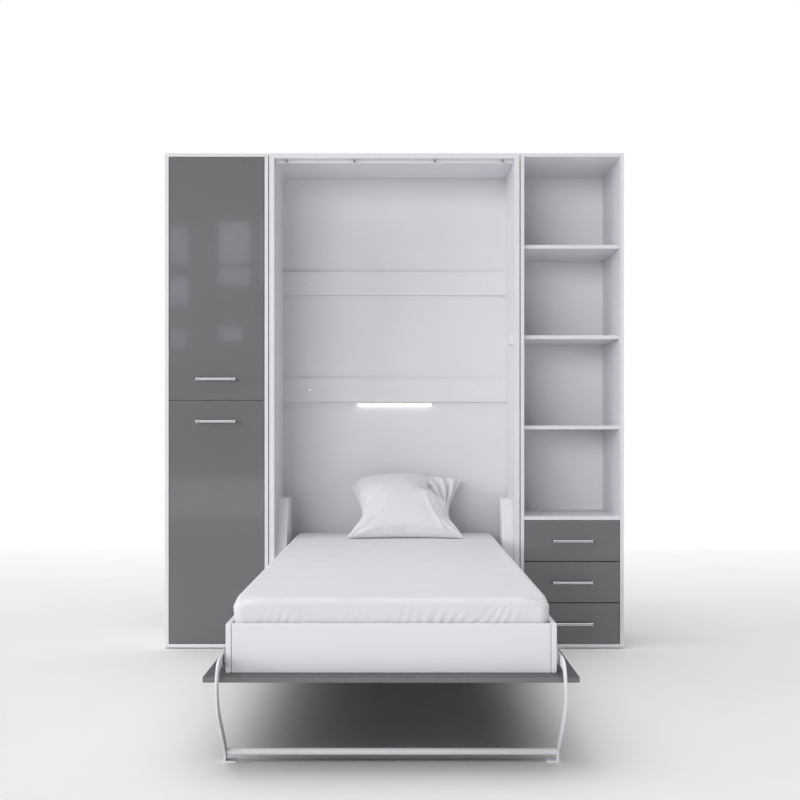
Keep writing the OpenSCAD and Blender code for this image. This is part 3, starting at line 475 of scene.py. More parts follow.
def round_rod(tree, start, end, radius, sides=24):
    """A capped rod between two points."""
    line = step(tree, "GeometryNodeCurvePrimitiveLine", {"Start": start, "End": end})
    ring = step(tree, "GeometryNodeCurvePrimitiveCircle", {"Resolution": sides, "Radius": radius})
    return step(tree, "GeometryNodeCurveToMesh", {"Curve": line, "Profile Curve": ring, "Fill Caps": True})


def point_xyz(tree, x=0.0, y=0.0, z=0.0):
    return step(tree, "ShaderNodeCombineXYZ", {"X": x, "Y": y, "Z": z})


def handle_tree():
    """Bar handle along X: a bar with turned collars, and two posts with feet against the face at y = 0."""
    # Lengths along the bar from its ends, and sizes as shares of its radius
    collar_l, chamfer_l = 0.012, 0.0016
    ring_place, ring_half = 0.0165, 0.0012
    collar_size, end_size, post_size, foot_size = 1.2, 0.55, 0.8, 1.2
    foot_t = 0.002
    tree, entry, out = new_tree("Bar handle", (
        ("Length", "NodeSocketFloat"), ("Pitch", "NodeSocketFloat"), ("Radius", "NodeSocketFloat"),
        ("Standoff", "NodeSocketFloat"), ("Material", "NodeSocketMaterial")))
    length, pitch, radius, off = (entry.outputs[k] for k in ("Length", "Pitch", "Radius", "Standoff"))
    half = times(tree, length, 0.5)
    axis = times(tree, off, -1.0)
    line = step(tree, "GeometryNodeCurvePrimitiveLine", {
        "Start": point_xyz(tree, times(tree, half, -1.0), axis), "End": point_xyz(tree, half, axis)})
    fine = step(tree, "GeometryNodeResampleCurve", {"Curve": line, "Count": 177})
    share = step(tree, "GeometryNodeSplineParameter").outputs["Length"]
    from_end = maths(tree, "MINIMUM", share, maths(tree, "SUBTRACT", length, share))
    collar = maths(tree, "LESS_THAN", from_end, collar_l)
    ring = maths(tree, "COMPARE", from_end, ring_place, ring_half)
    chamfer = maths(tree, "SQRT", maths(tree, "MINIMUM", maths(tree, "DIVIDE", from_end, chamfer_l), 1.0))
    swell = times(tree, maths(tree, "MAXIMUM", collar, ring), collar_size - 1)
    size = times(tree, maths(tree, "ADD", swell, 1.0), maths(tree, "MAXIMUM", chamfer, end_size))
    circle = step(tree, "GeometryNodeCurvePrimitiveCircle", {"Resolution": 28, "Radius": radius})
    parts = [step(tree, "GeometryNodeCurveToMesh", {
        "Curve": fine, "Profile Curve": circle, "Scale": size, "Fill Caps": True})]
    for side in (-0.5, 0.5):
        x = times(tree, pitch, side)
        foot = point_xyz(tree, x, -foot_t)
        parts.append(round_rod(tree, point_xyz(tree, x, axis), foot, times(tree, radius, post_size)))
        parts.append(round_rod(tree, foot, point_xyz(tree, x), times(tree, radius, foot_size)))
    close_tree(tree, out, step(tree, "GeometryNodeSetShadeSmooth", {"Geometry": joined(tree, parts)}))
    return tree


def slat_tree():
    """Sprung slats along X at even pitch along Y, each with rounded long edges."""
    tree, entry, out = new_tree("Slats", (
        ("Count", "NodeSocketInt"), ("Pitch", "NodeSocketFloat"), ("Size", "NodeSocketVector"),
        ("First", "NodeSocketVector"), ("Material", "NodeSocketMaterial")))
    size = step(tree, "ShaderNodeSeparateXYZ", {"Vector": entry.outputs["Size"]})
    length, depth, thick = size.outputs[0], size.outputs[1], size.outputs[2]
    width = maths(tree, "SUBTRACT", depth, thick)
    parts = [step(tree, "GeometryNodeMeshCube", {"Size": point_xyz(tree, length, width, thick)})]
    for side in (-0.5, 0.5):
        y = times(tree, width, side)
        ends = [point_xyz(tree, times(tree, length, end), y) for end in (-0.5, 0.5)]
        parts.append(round_rod(tree, *ends, times(tree, thick, 0.5), sides=16))
    row = step(tree, "GeometryNodeMeshLine", {
        "Count": entry.outputs["Count"], "Start Location": entry.outputs["First"],
        "Offset": point_xyz(tree, 0.0, entry.outputs["Pitch"], 0.0)})
    many = step(tree, "GeometryNodeInstanceOnPoints", {"Points": row, "Instance": joined(tree, parts)})
    close_tree(tree, out, many)
    return tree


def screw_tree():
    """A screw head along -X: a low dome with a cross recess, set on each vertex of the host mesh."""
    tree, entry, out = new_tree("Screw heads", (
        ("Radius", "NodeSocketFloat"), ("Height", "NodeSocketFloat"), ("Material", "NodeSocketMaterial")))
    # The recess's arms as shares of the head's radius, and its floor as a share of the head's height
    arm_l, arm_w, cut_floor = 1.1, 0.22, 0.6
    radius, height = entry.outputs["Radius"], entry.outputs["Height"]
    disc = step(tree, "GeometryNodeMeshCylinder", {
        "Vertices": 24, "Radius": radius, "Depth": height}, fill_type="NGON")
    arms = []
    for x, y in ((arm_l, arm_w), (arm_w, arm_l)):
        arms.append(step(tree, "GeometryNodeMeshCube", {"Size": point_xyz(
            tree, times(tree, radius, x), times(tree, radius, y), height)}))
    lifted = step(tree, "GeometryNodeTransform", {"Geometry": joined(tree, arms), "Translation": point_xyz(
        tree, 0.0, 0.0, times(tree, height, cut_floor))})
    cut = step(tree, "GeometryNodeMeshBoolean", {"Mesh 1": disc, "Mesh 2": lifted}, operation="DIFFERENCE")
    spots = step(tree, "GeometryNodeMeshToPoints", {"Mesh": entry.outputs["Geometry"]})
    turn = step(tree, "FunctionNodeAxisAngleToRotation", {"Axis": (0, 1, 0), "Angle": -math.pi / 2})
    many = step(tree, "GeometryNodeInstanceOnPoints", {"Points": spots, "Instance": cut, "Rotation": turn})
    close_tree(tree, out, many)
    return tree


# Operators, one for each piece or group of like pieces
class WALLBED_OT_finishes(bpy.types.Operator):
    """Make every finish of the bed and the cabinets"""

    bl_idname = "wallbed.finishes"
    bl_label = "Finishes"

    def execute(self, context):
        make_materials()
        for name, obj in nodes.items():
            paint(obj, name)
        return {"FINISHED"}


class WALLBED_OT_boards(bpy.types.Operator):
    """Ease the edges of the white boards"""

    bl_idname = "wallbed.boards"
    bl_label = "White boards"

    BOARDS = ("left_sides", "right_sides", "side_cabinet_tops", "side_cabinet_bottoms", "fixed_shelves",
              "shelves", "bed_cabinet_sides", "bed_cabinet_top", "bed_cabinet_base", "back_joint_strip",
              "wall_rails", "stop_strip", "bed_side_boards", "foot_board", "head_board",
              "top_drawer_box", "middle_drawer_box", "bottom_drawer_box")
    # The bed's boards have broader edges, and an open joint shows at the foot board's ends
    BROAD = ("bed_side_boards", "foot_board")
    BROADER = 1.7
    JOINT = 0.0009

    def execute(self, context):
        edge = settings("wall_bed_finishes").edge
        for node in self.BOARDS:
            board = eased(node, edge * (self.BROADER if node in self.BROAD else 1))
            if node == "foot_board":
                leave_joint(board, self.JOINT)
        return {"FINISHED"}


class WALLBED_OT_backs(bpy.types.Operator):
    """Give the back panels a white front and a raw fibreboard rear"""

    bl_idname = "wallbed.backs"
    bl_label = "Back panels"

    def execute(self, context):
        for node in ("side_cabinet_backs", "bed_cabinet_back"):
            obj = merged_copy(node, f"{node}_panel")
            obj.data.materials.append(materials["white_board"])
            obj.data.materials.append(materials["fibreboard"])
            for face in obj.data.polygons:
                face.material_index = 0 if face.normal.y < -0.5 else 1
            dress(obj, node)
        return {"FINISHED"}


class WALLBED_OT_fronts(bpy.types.Operator):
    """Ease the edges of the gloss doors, drawer fronts and bed front"""

    bl_idname = "wallbed.fronts"
    bl_label = "Gloss fronts"

    # Room between the bed front's ends and the flanges of the hinge housings when the bed is up
    FLANGE_GAP = 0.0004

    def execute(self, context):
        edge = settings("wall_bed_finishes").edge
        for node in ("upper_door", "lower_door"):
            self.back_with_melamine(eased(node, edge), Vector((0, 1, 0)))
        panel = eased("front_panel", edge)
        leave_joint(panel, self.FLANGE_GAP)
        self.back_with_melamine(panel, Vector((0, 0, 1)))
        for drawer in DRAWERS:
            self.back_with_melamine(eased(f"{drawer}_drawer_front", edge), Vector((0, 1, 0)))
        return {"FINISHED"}

    def back_with_melamine(self, front, inward):
        """Gives the inner face the plain finish; only the outer face and the edges are lacquered."""
        front.data.materials.append(materials["grey_inside"])
        for face in front.data.polygons:
            if face.normal.dot(inward) > 0.9:
                face.material_index = 1


class WALLBED_OT_handles(bpy.types.Operator):
    """Bar handles on the doors, the drawers and the bed front"""

    bl_idname = "wallbed.handles"
    bl_label = "Bar handles"

    def execute(self, context):
        h = settings("wall_bed_handles")
        tree = handle_tree()
        values = {"Length": h.length, "Pitch": h.pitch, "Radius": h.radius, "Standoff": h.standoff}
        for node in ["upper_door_handle", "lower_door_handle"] + [f"{d}_drawer_handle" for d in DRAWERS]:
            place = middle(node)
            place.y = highest(node).y
            self.put_handle(tree, values, node, Matrix.Translation(place))
        place = middle("panel_handle")
        place.z = highest("panel_handle").z
        flat = Matrix.Rotation(math.pi / 2, 4, "X")
        self.put_handle(tree, values, "panel_handle", Matrix.Translation(place) @ flat)
        return {"FINISHED"}

    def put_handle(self, tree, values, node, matrix):
        """Grows a handle and moves its mesh to its face."""
        obj = grow(tree, f"{node}_bar", node, values)
        obj.data.transform(matrix)
        dress(obj, node)


class WALLBED_OT_steelwork(bpy.types.Operator):
    """Hinge housings, leg, brackets, struts, runners and hinges"""

    bl_idname = "wallbed.steelwork"
    bl_label = "Steelwork"

    # The nodes that have no round faces, and the width of each node's eased edges
    FLAT = ("hinge_arms", "drawer_rails")
    SOFT_EDGES = {"hinge_housings": 0.0006, "leg_arms": 0.0012, "pivot_brackets": 0.0006,
                  "leg_plates": 0.0006, "hinge_arms": 0.0006, "drawer_rails": 0.0003,
                  "top_drawer_slides": 0.0003, "middle_drawer_slides": 0.0003, "bottom_drawer_slides": 0.0003,
                  "strut_cylinders": 0.0008, "strut_rods": 0.0005, "leg_tube": 0.0008,
                  "upper_hinge_cups": 0.0003, "lower_hinge_cups": 0.0003, "pivot_bushes": 0.0004,
                  "floor_glides": 0.0008, "stop_buffers": 0.0012, "shelf_pins": 0.0004,
                  "connector_screws": 0.0006}

    def execute(self, context):
        for node, width in self.SOFT_EDGES.items():
            eased(node, width, round_faces=node not in self.FLAT)
        return {"FINISHED"}


class WALLBED_OT_screws(bpy.types.Operator):
    """Cross-head screws on the hinge housings' flanges"""

    bl_idname = "wallbed.screws"
    bl_label = "Flange screws"

    HEAD_RADIUS = 0.004
    HEAD_HEIGHT = 0.0015

    def execute(self, context):
        spots = bpy.data.meshes.new("screw_spots")
        spots.from_pydata([c for c in self.centres("housing_screws") if c.x > 0], [], [])
        obj = grow(screw_tree(), "flange_screw_heads", "housing_screws", {
            "Radius": self.HEAD_RADIUS, "Height": self.HEAD_HEIGHT}, spots)
        mirrored = obj.data.copy()
        for vert in mirrored.vertices:
            vert.co.x = -vert.co.x
        mirrored.flip_normals()
        bm = bmesh.new()
        bm.from_mesh(obj.data)
        bm.from_mesh(mirrored)
        bm.to_mesh(obj.data)
        bm.free()
        dress(obj, "housing_screws")
        return {"FINISHED"}

    def centres(self, node):
        """The middle of each loose part of a node's mesh."""
        bm = bmesh.new()
        bm.from_mesh(nodes[node].data)
        bmesh.ops.remove_doubles(bm, verts=bm.verts, dist=WELD)
        found = []
        seen = set()
        for start in bm.verts:
            if start in seen:
                continue
            island, queue = [], [start]
            seen.add(start)
            while queue:
                vert = queue.pop()
                island.append(vert.co.copy())
                near = [edge.other_vert(vert) for edge in vert.link_edges]
                queue += [other for other in near if other not in seen]
                seen.update(near)
            spans = [[co[k] for co in island] for k in range(3)]
            found.append(Vector([(min(span) + max(span)) / 2 for span in spans]))
        bm.free()
        return found


class WALLBED_OT_slats(bpy.types.Operator):
    """Sprung slats on their ledgers"""

    bl_idname = "wallbed.slats"
    bl_label = "Slats"

    COUNT = 14

    def execute(self, context):
        low, high = lowest("slats"), highest("slats")
        board = lowest("head_board").y - highest("foot_board").y
        pitch = board / self.COUNT
        width = (high.y - low.y) - pitch * (self.COUNT - 1)
        size = Vector((high.x - low.x, width, high.z - low.z))
        first = Vector(((high.x + low.x) / 2, low.y + width / 2, (high.z + low.z) / 2))
        obj = grow(slat_tree(), "sprung_slats", "slats", {
            "Count": self.COUNT, "Pitch": pitch, "Size": size, "First": first})
        dress(obj, "slats")
        eased("slat_ledgers", 0.0012)
        return {"FINISHED"}


class WALLBED_OT_lamp(bpy.types.Operator):
    """Lamp bar under the lower rail, and the switch"""

    bl_idname = "wallbed.lamp"
    bl_label = "Lamp and switch"

    def execute(self, context):
        eased("lamp_body", 0.0008)
        eased("lamp_diffuser", 0.0015, segments=3)
        eased("switch_box", 0.002, segments=3)
        eased("switch_rocker", 0.0006)
        return {"FINISHED"}


# Bedding
def fold_noise(x, y, z, seed):
    return noise.noise(Vector((x, y, z + seed * 17.0)))


def smooth_step(value, low, high):
    t = min(1.0, max(0.0, (value - low) / (high - low)))
    return t * t * (3 - 2 * t)


def closed_skin(name, verts, faces, weld=0.0):
    """A smooth mesh with its faces outward; points within the weld distance are joined."""
    mesh = bpy.data.meshes.new(name)
    mesh.from_pydata(verts, [], faces)
    bm = bmesh.new()
    bm.from_mesh(mesh)
    if weld:
        bmesh.ops.remove_doubles(bm, verts=bm.verts, dist=weld)
    bmesh.ops.recalc_face_normals(bm, faces=bm.faces)
    bm.to_mesh(mesh)
    bm.free()
    for face in mesh.polygons:
        face.use_smooth = True
    return mesh


def ring_stations(coarse, fine, foot_share):
    """Shares of the way round a ring from the middle of its head end, closer together along the foot end."""
    turn = 0.5 - foot_share
    half = [turn * i / coarse for i in range(coarse)]
    half += [turn + foot_share * i / fine for i in range(fine + 1)]
    return half + [1 - share for share in reversed(half[1:-1])]


def ring_of(half_x, y0, y1, radius, z, stations):
    """Points round a rounded rectangle, at the given shares of the way from the middle of its head end."""
    radius = min(radius, half_x * 0.98, (y1 - y0) * 0.49)
    straight_y = (y1 - y0) / 2 - radius
    straight_x = half_x - radius
    arc = radius * math.pi / 2
    quarter_length = straight_x + straight_y + arc
    mid_y = (y0 + y1) / 2
    points = []
    for share in stations:
        s = (share + 0.25) % 1 * 4
        quarter = int(s)
        d = (s - quarter) * quarter_length
        first, second = (straight_x, straight_y) if quarter % 2 else (straight_y, straight_x)
        if d < first:
            u, v = radius + second, d
        elif d < first + arc:
            a = (d - first) / radius
            u, v = second + radius * math.cos(a), first + radius * math.sin(a)
        else:
            u, v = second - (d - first - arc), first + radius
        x, y = ((u, v), (-v, u), (-u, -v), (v, -u))[quarter]
        points.append((x, y + mid_y, z))
    return points


class WALLBED_OT_mattress(bpy.types.Operator):
    """Mattress in a fitted sheet, with rolled edges and pleats at the foot end"""

    bl_idname = "wallbed.mattress"
    bl_label = "Mattress"

    # Inset and height of the rows that round the underside, and where the wall starts
    UNDERSIDE = ((0.010, 0.0), (0.003, 0.006))
    WALL_LOW = 0.012
    WALL_INSET = 0.0012
    CROWN = 0.004
    # The strip inside the top's innermost row, the least radius of a corner, and how close points are joined
    STRIP = 0.004
    LEAST_CORNER = 0.012
    WELD = 2e-4
    WALL_ROWS = 26
    EDGE_ROWS = 8
    TOP_ROWS = 38
    # Points round half of a ring outside the foot end and along it, and the foot end's share of the way round
    ROUND = (200, 150, 0.083)
    # Where the sheet is gathered along the foot end: place, reach and share; and its share elsewhere
    GATHERS = ((-0.31, 0.10, 0.55), (-0.10, 0.07, 0.30), (0.13, 0.085, 1.0), (0.29, 0.075, 0.8))
    LEAST_GATHER = 0.16

    def execute(self, context):
        linen = settings("wall_bed_linen")
        low, high = lowest("mattress"), highest("mattress")
        half_x = (high.x - low.x) / 2
        rim = highest("foot_board").z
        stations = ring_stations(*self.ROUND)
        count = len(stations)
        profile = self.profile(low, high, rim, linen)
        verts = []
        for inset, z in profile:
            verts += ring_of(half_x - inset, low.y + inset, high.y - inset,
                             max(self.LEAST_CORNER, linen.corner_round - inset * 0.5), z, stations)
        faces = []
        for j in range(len(profile) - 1):
            for i in range(count):
                a, b = j * count + i, j * count + (i + 1) % count
                faces.append((a, b, b + count, a + count))
        faces.append(tuple(range(count - 1, -1, -1)))
        last = len(verts) - count
        for k in range(count // 2):
            ends = (last + k, last + k + 1, last + (count - k - 1) % count, last + (count - k) % count)
            faces.append(tuple(dict.fromkeys(ends)))
        mesh = closed_skin("mattress_in_sheet", verts, faces, weld=self.WELD)
        self.crumple(mesh, low, high, rim, linen)
        obj = link("mattress_in_sheet", mesh)
        paint(obj, "mattress")
        dress(obj, "mattress")
        return {"FINISHED"}

    def profile(self, low, high, rim, linen):
        """How far in from the box each row lies, and its height, from the underside to the top's middle."""
        edge = linen.edge_round
        shoulder = high.z - self.CROWN - edge
        rows = [(inset, low.z + z) for inset, z in self.UNDERSIDE]
        for i in range(self.WALL_ROWS + 1):
            z = low.z + self.WALL_LOW + (shoulder - low.z - self.WALL_LOW) * i / self.WALL_ROWS
            above = min(1.0, max(0.0, (z - rim) / (shoulder - rim)))
            rows.append((self.WALL_INSET - linen.bulge * math.sin(above * math.pi * 0.62) ** 0.8, z))
        belly = rows[-1][0]
        for i in range(1, self.EDGE_ROWS + 1):
            a = math.pi / 2 * i / self.EDGE_ROWS
            rows.append((belly + (edge - belly) * (1 - math.cos(a)), shoulder + edge * math.sin(a)))
        reach = (high.x - low.x) / 2 - edge - self.STRIP
        for i in range(1, self.TOP_ROWS + 1):
            t = i / self.TOP_ROWS
            rows.append((edge + t * reach, high.z - self.CROWN * (1 - smooth_step(t, 0, 0.6))))
        return rows

    def gathered(self, x):
        """How strongly the sheet is gathered at a place along the foot end."""
        peaks = [share * math.exp(-((x - at) / reach) ** 2) for at, reach, share in self.GATHERS]
        return self.LEAST_GATHER + sum(peaks)

    def crumple(self, mesh, low, high, rim, linen):
        """Moves the sheet along its normals by pleats, pulls and soft waves."""
        wave_h, pull_h, hem_h, sway_h, slack = 0.0012, 0.0018, 0.0011, 0.0010, 0.0006
        normals = [v.normal.copy() for v in mesh.vertices]
        span_z = high.z - low.z
        for vert, normal in zip(mesh.vertices, normals):
            x, y, z = vert.co
            up = (z - low.z) / span_z
            foot_wall = smooth_step(-(y - low.y), -0.06, -0.0) * (1 - smooth_step(up, 0.85, 0.98))
            drift = wave_h * fold_noise(x * 9, y * 9, z * 14, linen.seed) * foot_wall
            tall = 0.042 + 0.03 * (0.5 + fold_noise(x * 14, 4, 0, linen.seed))
            low_down = 1 - smooth_step(z, rim + 0.004, rim + tall)
            lean = 0.55 + 0.6 * fold_noise(x * 6, 8, 0, linen.seed)
            phase = (x - lean * (z - rim)) * 205 + 3.4 * fold_noise(x * 9, 0, 2, linen.seed)
            pleats = linen.pleat * foot_wall * low_down * self.gathered(x) * math.sin(phase)
            side = smooth_step(abs(x), high.x - 0.05, high.x - 0.005) * (1 - smooth_step(up, 0.7, 0.95))
            side_folds = wave_h * side * math.sin(y * 62 + 3 * fold_noise(y * 3, z * 6, 1, linen.seed))
            on_top = smooth_step(up, 0.93, 0.99)
            near_edge = smooth_step(abs(x), high.x - 0.24, high.x - 0.03)
            pulls = pull_h * on_top * near_edge * fold_noise(x * 3 + y * 4, y * 24, 3, linen.seed)
            hem = hem_h * math.exp(-((up - 0.86) / 0.05) ** 2) * (1 + fold_noise(x * 11, 1, 7, linen.seed))
            sway = sway_h * on_top * fold_noise(x * 4, y * 3, 9, linen.seed)
            corner = smooth_step(abs(x), high.x - 0.08, high.x) * smooth_step(-(y - low.y), -0.10, 0)
            lift = pleats + drift + side_folds + pulls + hem * foot_wall + sway - slack
            vert.co = vert.co + normal * lift
            vert.co.z -= linen.corner_drop * corner * smooth_step(up, 0.6, 1.0)
        mesh.update()


class PillowShape:
    """A pillow in its case that leans on the back: u runs across it from -1 to 1, v up it from 0 to 1."""

    # Folds on the front: the points (u, v) that each runs through, its height and its reach in metres
    CREASES = (
        (((-0.80, 0.46), (-0.97, 0.37)), -0.0070, 0.010),
        (((-0.86, 0.53), (-0.70, 0.51)), 0.0040, 0.008),
        (((-0.76, 0.97), (-0.87, 0.86), (-0.93, 0.76), (-0.93, 0.62)), 0.0060, 0.010),
        (((0.44, 0.50), (0.50, 0.38), (0.58, 0.22), (0.68, 0.05)), 0.0050, 0.014),
        (((0.66, 0.56), (0.78, 0.36), (0.86, 0.20)), -0.0045, 0.016),
        (((-0.93, 0.03), (-0.72, 0.16), (-0.5, 0.24)), 0.0030, 0.012),
    )

    # Half the thickness of the empty case, and the height of the folds that run from the filled corners
    CASE = 0.0022
    RAYS = 0.004
    # The foot and the head edge, in y and z from the low and the high corner of the CAD pillow's box
    FOOT = (-0.0008, 0.0022)
    HEAD = (-0.0053, -0.0120)
    # How much shorter the pillow is in the middle of its foot edge and at the corners of its head edge
    FOOT_ARCH = 0.010
    LEFT_DROP, RIGHT_DROP = 0.052, 0.034
    # How far the case's empty corner leans back, and the depth of its pleats
    LEAN = 0.026
    PLEATS = 0.024

    def __init__(self, low, high, plump, seed):
        self.floor = low.z + 0.0003
        self.plump, self.seed = plump, seed
        self.centre = (low.x + high.x) / 2
        self.half = (high.x - low.x) / 2
        self.foot = Vector((0, low.y + self.FOOT[0], low.z + self.FOOT[1]))
        self.head = Vector((0, high.y + self.HEAD[0], high.z + self.HEAD[1]))
        self.length = (self.head - self.foot).length
        self.along = (self.head - self.foot) / self.length
        self.out = Vector((0, -self.along.z, self.along.y))

    def stuffed_to(self, v):
        """Share of the width that the filling takes: the case is empty in its open upper right corner."""
        return 1 - 0.58 * smooth_step(v, 0.45, 0.70)

    def fullness(self, u, v):
        w = min(1.0, (u + 1) / (self.stuffed_to(v) + 1))
        across = max(0.0, 1 - abs(2 * w - 1) ** 2.8) ** 0.6
        flatter_top = 1 - 0.2 * smooth_step(v, 0.55, 0.95)
        return across * math.sin(math.pi * min(1, max(0, v))) ** 0.55 * flatter_top

    def drawn_in(self, u, v):
        """How far the sides come in between the corners, and round the upper left corner."""
        pull = 0.05 * math.sin(math.pi * v ** 0.75) ** 2
        if u < 0:
            k = max(0.0, (v - 0.86) / 0.14)
            pull += 0.03 * (1 - math.sqrt(max(0.0, 1 - k * k)))
        return pull * abs(u)

    def looseness(self, u, v):
        edge = self.stuffed_to(v)
        return smooth_step(u, edge - 0.03, edge + 0.07) * smooth_step(v, 0.40, 0.5)

    def creases(self, u, v):
        """Height of the soft folds that are drawn from point to point across the front."""
        x, y = u * self.half, v * self.length
        height = 0.0
        for points, lift, reach in self.CREASES:
            nearest = 1.0
            for (u0, v0), (u1, v1) in zip(points, points[1:]):
                ax, ay = u0 * self.half, v0 * self.length
                bx, by = u1 * self.half - ax, v1 * self.length - ay
                t = min(1.0, max(0.0, ((x - ax) * bx + (y - ay) * by) / (bx * bx + by * by)))
                nearest = min(nearest, math.hypot(x - ax - t * bx, y - ay - t * by))
            height += lift * math.exp(-(nearest / reach) ** 2)
        return height

    def fan(self, u, v):
        """Pleats of the empty corner, which spread from where the filling ends."""
        side, up = (0.95 - u) * self.half, (v - 0.42) * self.length
        angle = math.atan2(side, max(0.015, up))
        turn = 27 * angle + 1.8 * fold_noise(u * 5, v * 4, 5, self.seed)
        reach = min(1.0, math.hypot(side, up) / 0.13)
        return self.PLEATS * reach * (math.sin(turn) + 0.35 * math.sin(2 * turn + 1))

    def point(self, u, v, side):
        top_drop = self.LEFT_DROP * abs(u) ** 3 if u < 0 else self.RIGHT_DROP * u ** 1.6
        start = self.FOOT_ARCH * (1 - u * u)
        s = start + v * (self.length - top_drop - start)
        p = self.foot + self.along * s
        p.x = self.centre + u * self.half - math.copysign(self.drawn_in(u, v), u)
        full = self.fullness(u, v)
        thick = self.plump * full + self.CASE
        loose = self.looseness(u, v)
        crumple = 0.0028 * full * fold_noise(u * 5 - v * 3, v * 4, side * 3, self.seed)
        rays = 0.0
        for corner_u, corner_v in ((-1, 0), (1, 0), (-1, 1)):
            du, dv = abs(u - corner_u), abs(v - corner_v)
            near = math.exp(-(du * du + dv * dv * 1.5) / 0.16)
            rays += self.RAYS * near * math.sin(15 * math.atan2(dv + 0.02, du + 0.02)) * min(1, (du + dv) * 5)
        drawn = self.creases(u, v) if side > 0 else 0.0
        p = p + self.out * (side * (thick + rays + drawn) + crumple)
        p.y += loose * (self.LEAN - self.fan(u, v))
        p.z = max(p.z, self.floor)
        return p


def cloth_puff(obj, pressure, frames, cap, shrink):
    """Runs a short cloth simulation with air pressure and keeps every point within the cap."""
    start = np.empty(len(obj.data.vertices) * 3)
    obj.data.vertices.foreach_get("co", start)
    cloth = obj.modifiers.new("Cloth", "CLOTH")
    for key, value in {
            "use_pressure": True, "uniform_pressure_force": pressure, "shrink_min": shrink, "quality": 5,
            "mass": 0.25, "tension_stiffness": 12, "compression_stiffness": 12, "shear_stiffness": 4,
            "bending_stiffness": 0.3}.items():
        setattr(cloth.settings, key, value)
    cloth.settings.effector_weights.gravity = 0
    cloth.collision_settings.use_collision = False
    cloth.point_cache.frame_start = 1
    cloth.point_cache.frame_end = frames
    scene = bpy.context.scene
    for number in range(1, frames + 1):
        scene.frame_set(number)
    result = plain_mesh(obj)
    moved = np.empty_like(start)
    result.vertices.foreach_get("co", moved)
    obj.modifiers.remove(cloth)
    shift = (moved - start).reshape(-1, 3)
    length = np.maximum(np.linalg.norm(shift, axis=1, keepdims=True), 1e-9)
    shift *= np.minimum(1.0, cap / length)
    obj.data.vertices.foreach_set("co", (start.reshape(-1, 3) + shift).ravel())
    obj.data.update()
    bpy.data.meshes.remove(result)
    scene.frame_set(1)


class WALLBED_OT_pillow(bpy.types.Operator):
    """Pillow in a cotton case with an open end"""

    bl_idname = "wallbed.pillow"
    bl_label = "Pillow"

    GRID = (112, 96)
    # What stays free over the cabinet's base with the bed up, and the stretch that the rear is drawn in over
    CLEARANCE = 0.002
    DRAWN_IN = 0.055

    def execute(self, context):
        linen = settings("wall_bed_linen")
        shape = PillowShape(lowest("pillow"), highest("pillow"), linen.plump, linen.seed)
        verts, faces = self.grid(shape, *self.GRID)
        mesh = closed_skin("pillow_in_case", verts, faces)
        obj = link("pillow_in_case", mesh)
        cloth_puff(obj, pressure=3.0, frames=20, cap=0.006, shrink=-0.03)
        self.rest(mesh, shape.floor)
        smooth = obj.modifiers.new("Subdivision", "SUBSURF")
        smooth.levels = 1
        smooth.render_levels = 1
        fine = plain_mesh(obj)
        obj.modifiers.remove(smooth)
        obj.data = fine
        paint(obj, "pillow")
        dress(obj, "pillow")
        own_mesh(obj)
        return {"FINISHED"}

    def grid(self, shape, across, rows):
        """The front and the back as two grids that share their rim."""
        verts, faces = [], []
        index = {}
        for side in (1, -1):
            for j in range(rows + 1):
                for i in range(across + 1):
                    rim = i in (0, across) or j in (0, rows)
                    if side == -1 and rim:
                        index[side, i, j] = index[1, i, j]
                        continue
                    index[side, i, j] = len(verts)
                    verts.append(shape.point(2 * i / across - 1, j / rows, 0 if rim else side))
        for side in (1, -1):
            for j in range(rows):
                for i in range(across):
                    quad = [index[side, a, b] for a, b in ((i, j), (i + 1, j), (i + 1, j + 1), (i, j + 1))]
                    faces.append(quad[::side])
        return verts, faces

    def rest(self, mesh, floor):
        """Lets nothing sink into the mattress or, with the bed up, into the cabinet's base."""
        pivot = middle("pivot_bushes")
        limit = pivot.y + pivot.z - highest("bed_cabinet_base").z - self.CLEARANCE
        for vert in mesh.vertices:
            vert.co.z = max(vert.co.z, floor)
            past = vert.co.y - limit + self.DRAWN_IN
            if past > 0:
                vert.co.y = limit - self.DRAWN_IN * math.exp(-past / self.DRAWN_IN)


# Stage
def soft_light(name, place, target, size, power, color=(1, 1, 1)):
    data = bpy.data.lights.new(name, "AREA")
    data.shape = "RECTANGLE"
    data.size, data.size_y = size
    data.energy = power
    data.color = color
    obj = bpy.data.objects.new(name, data)
    bpy.context.scene.collection.objects.link(obj)
    obj.location = place
    obj.rotation_euler = (Vector(target) - Vector(place)).to_track_quat("-Z", "Y").to_euler()
    return obj


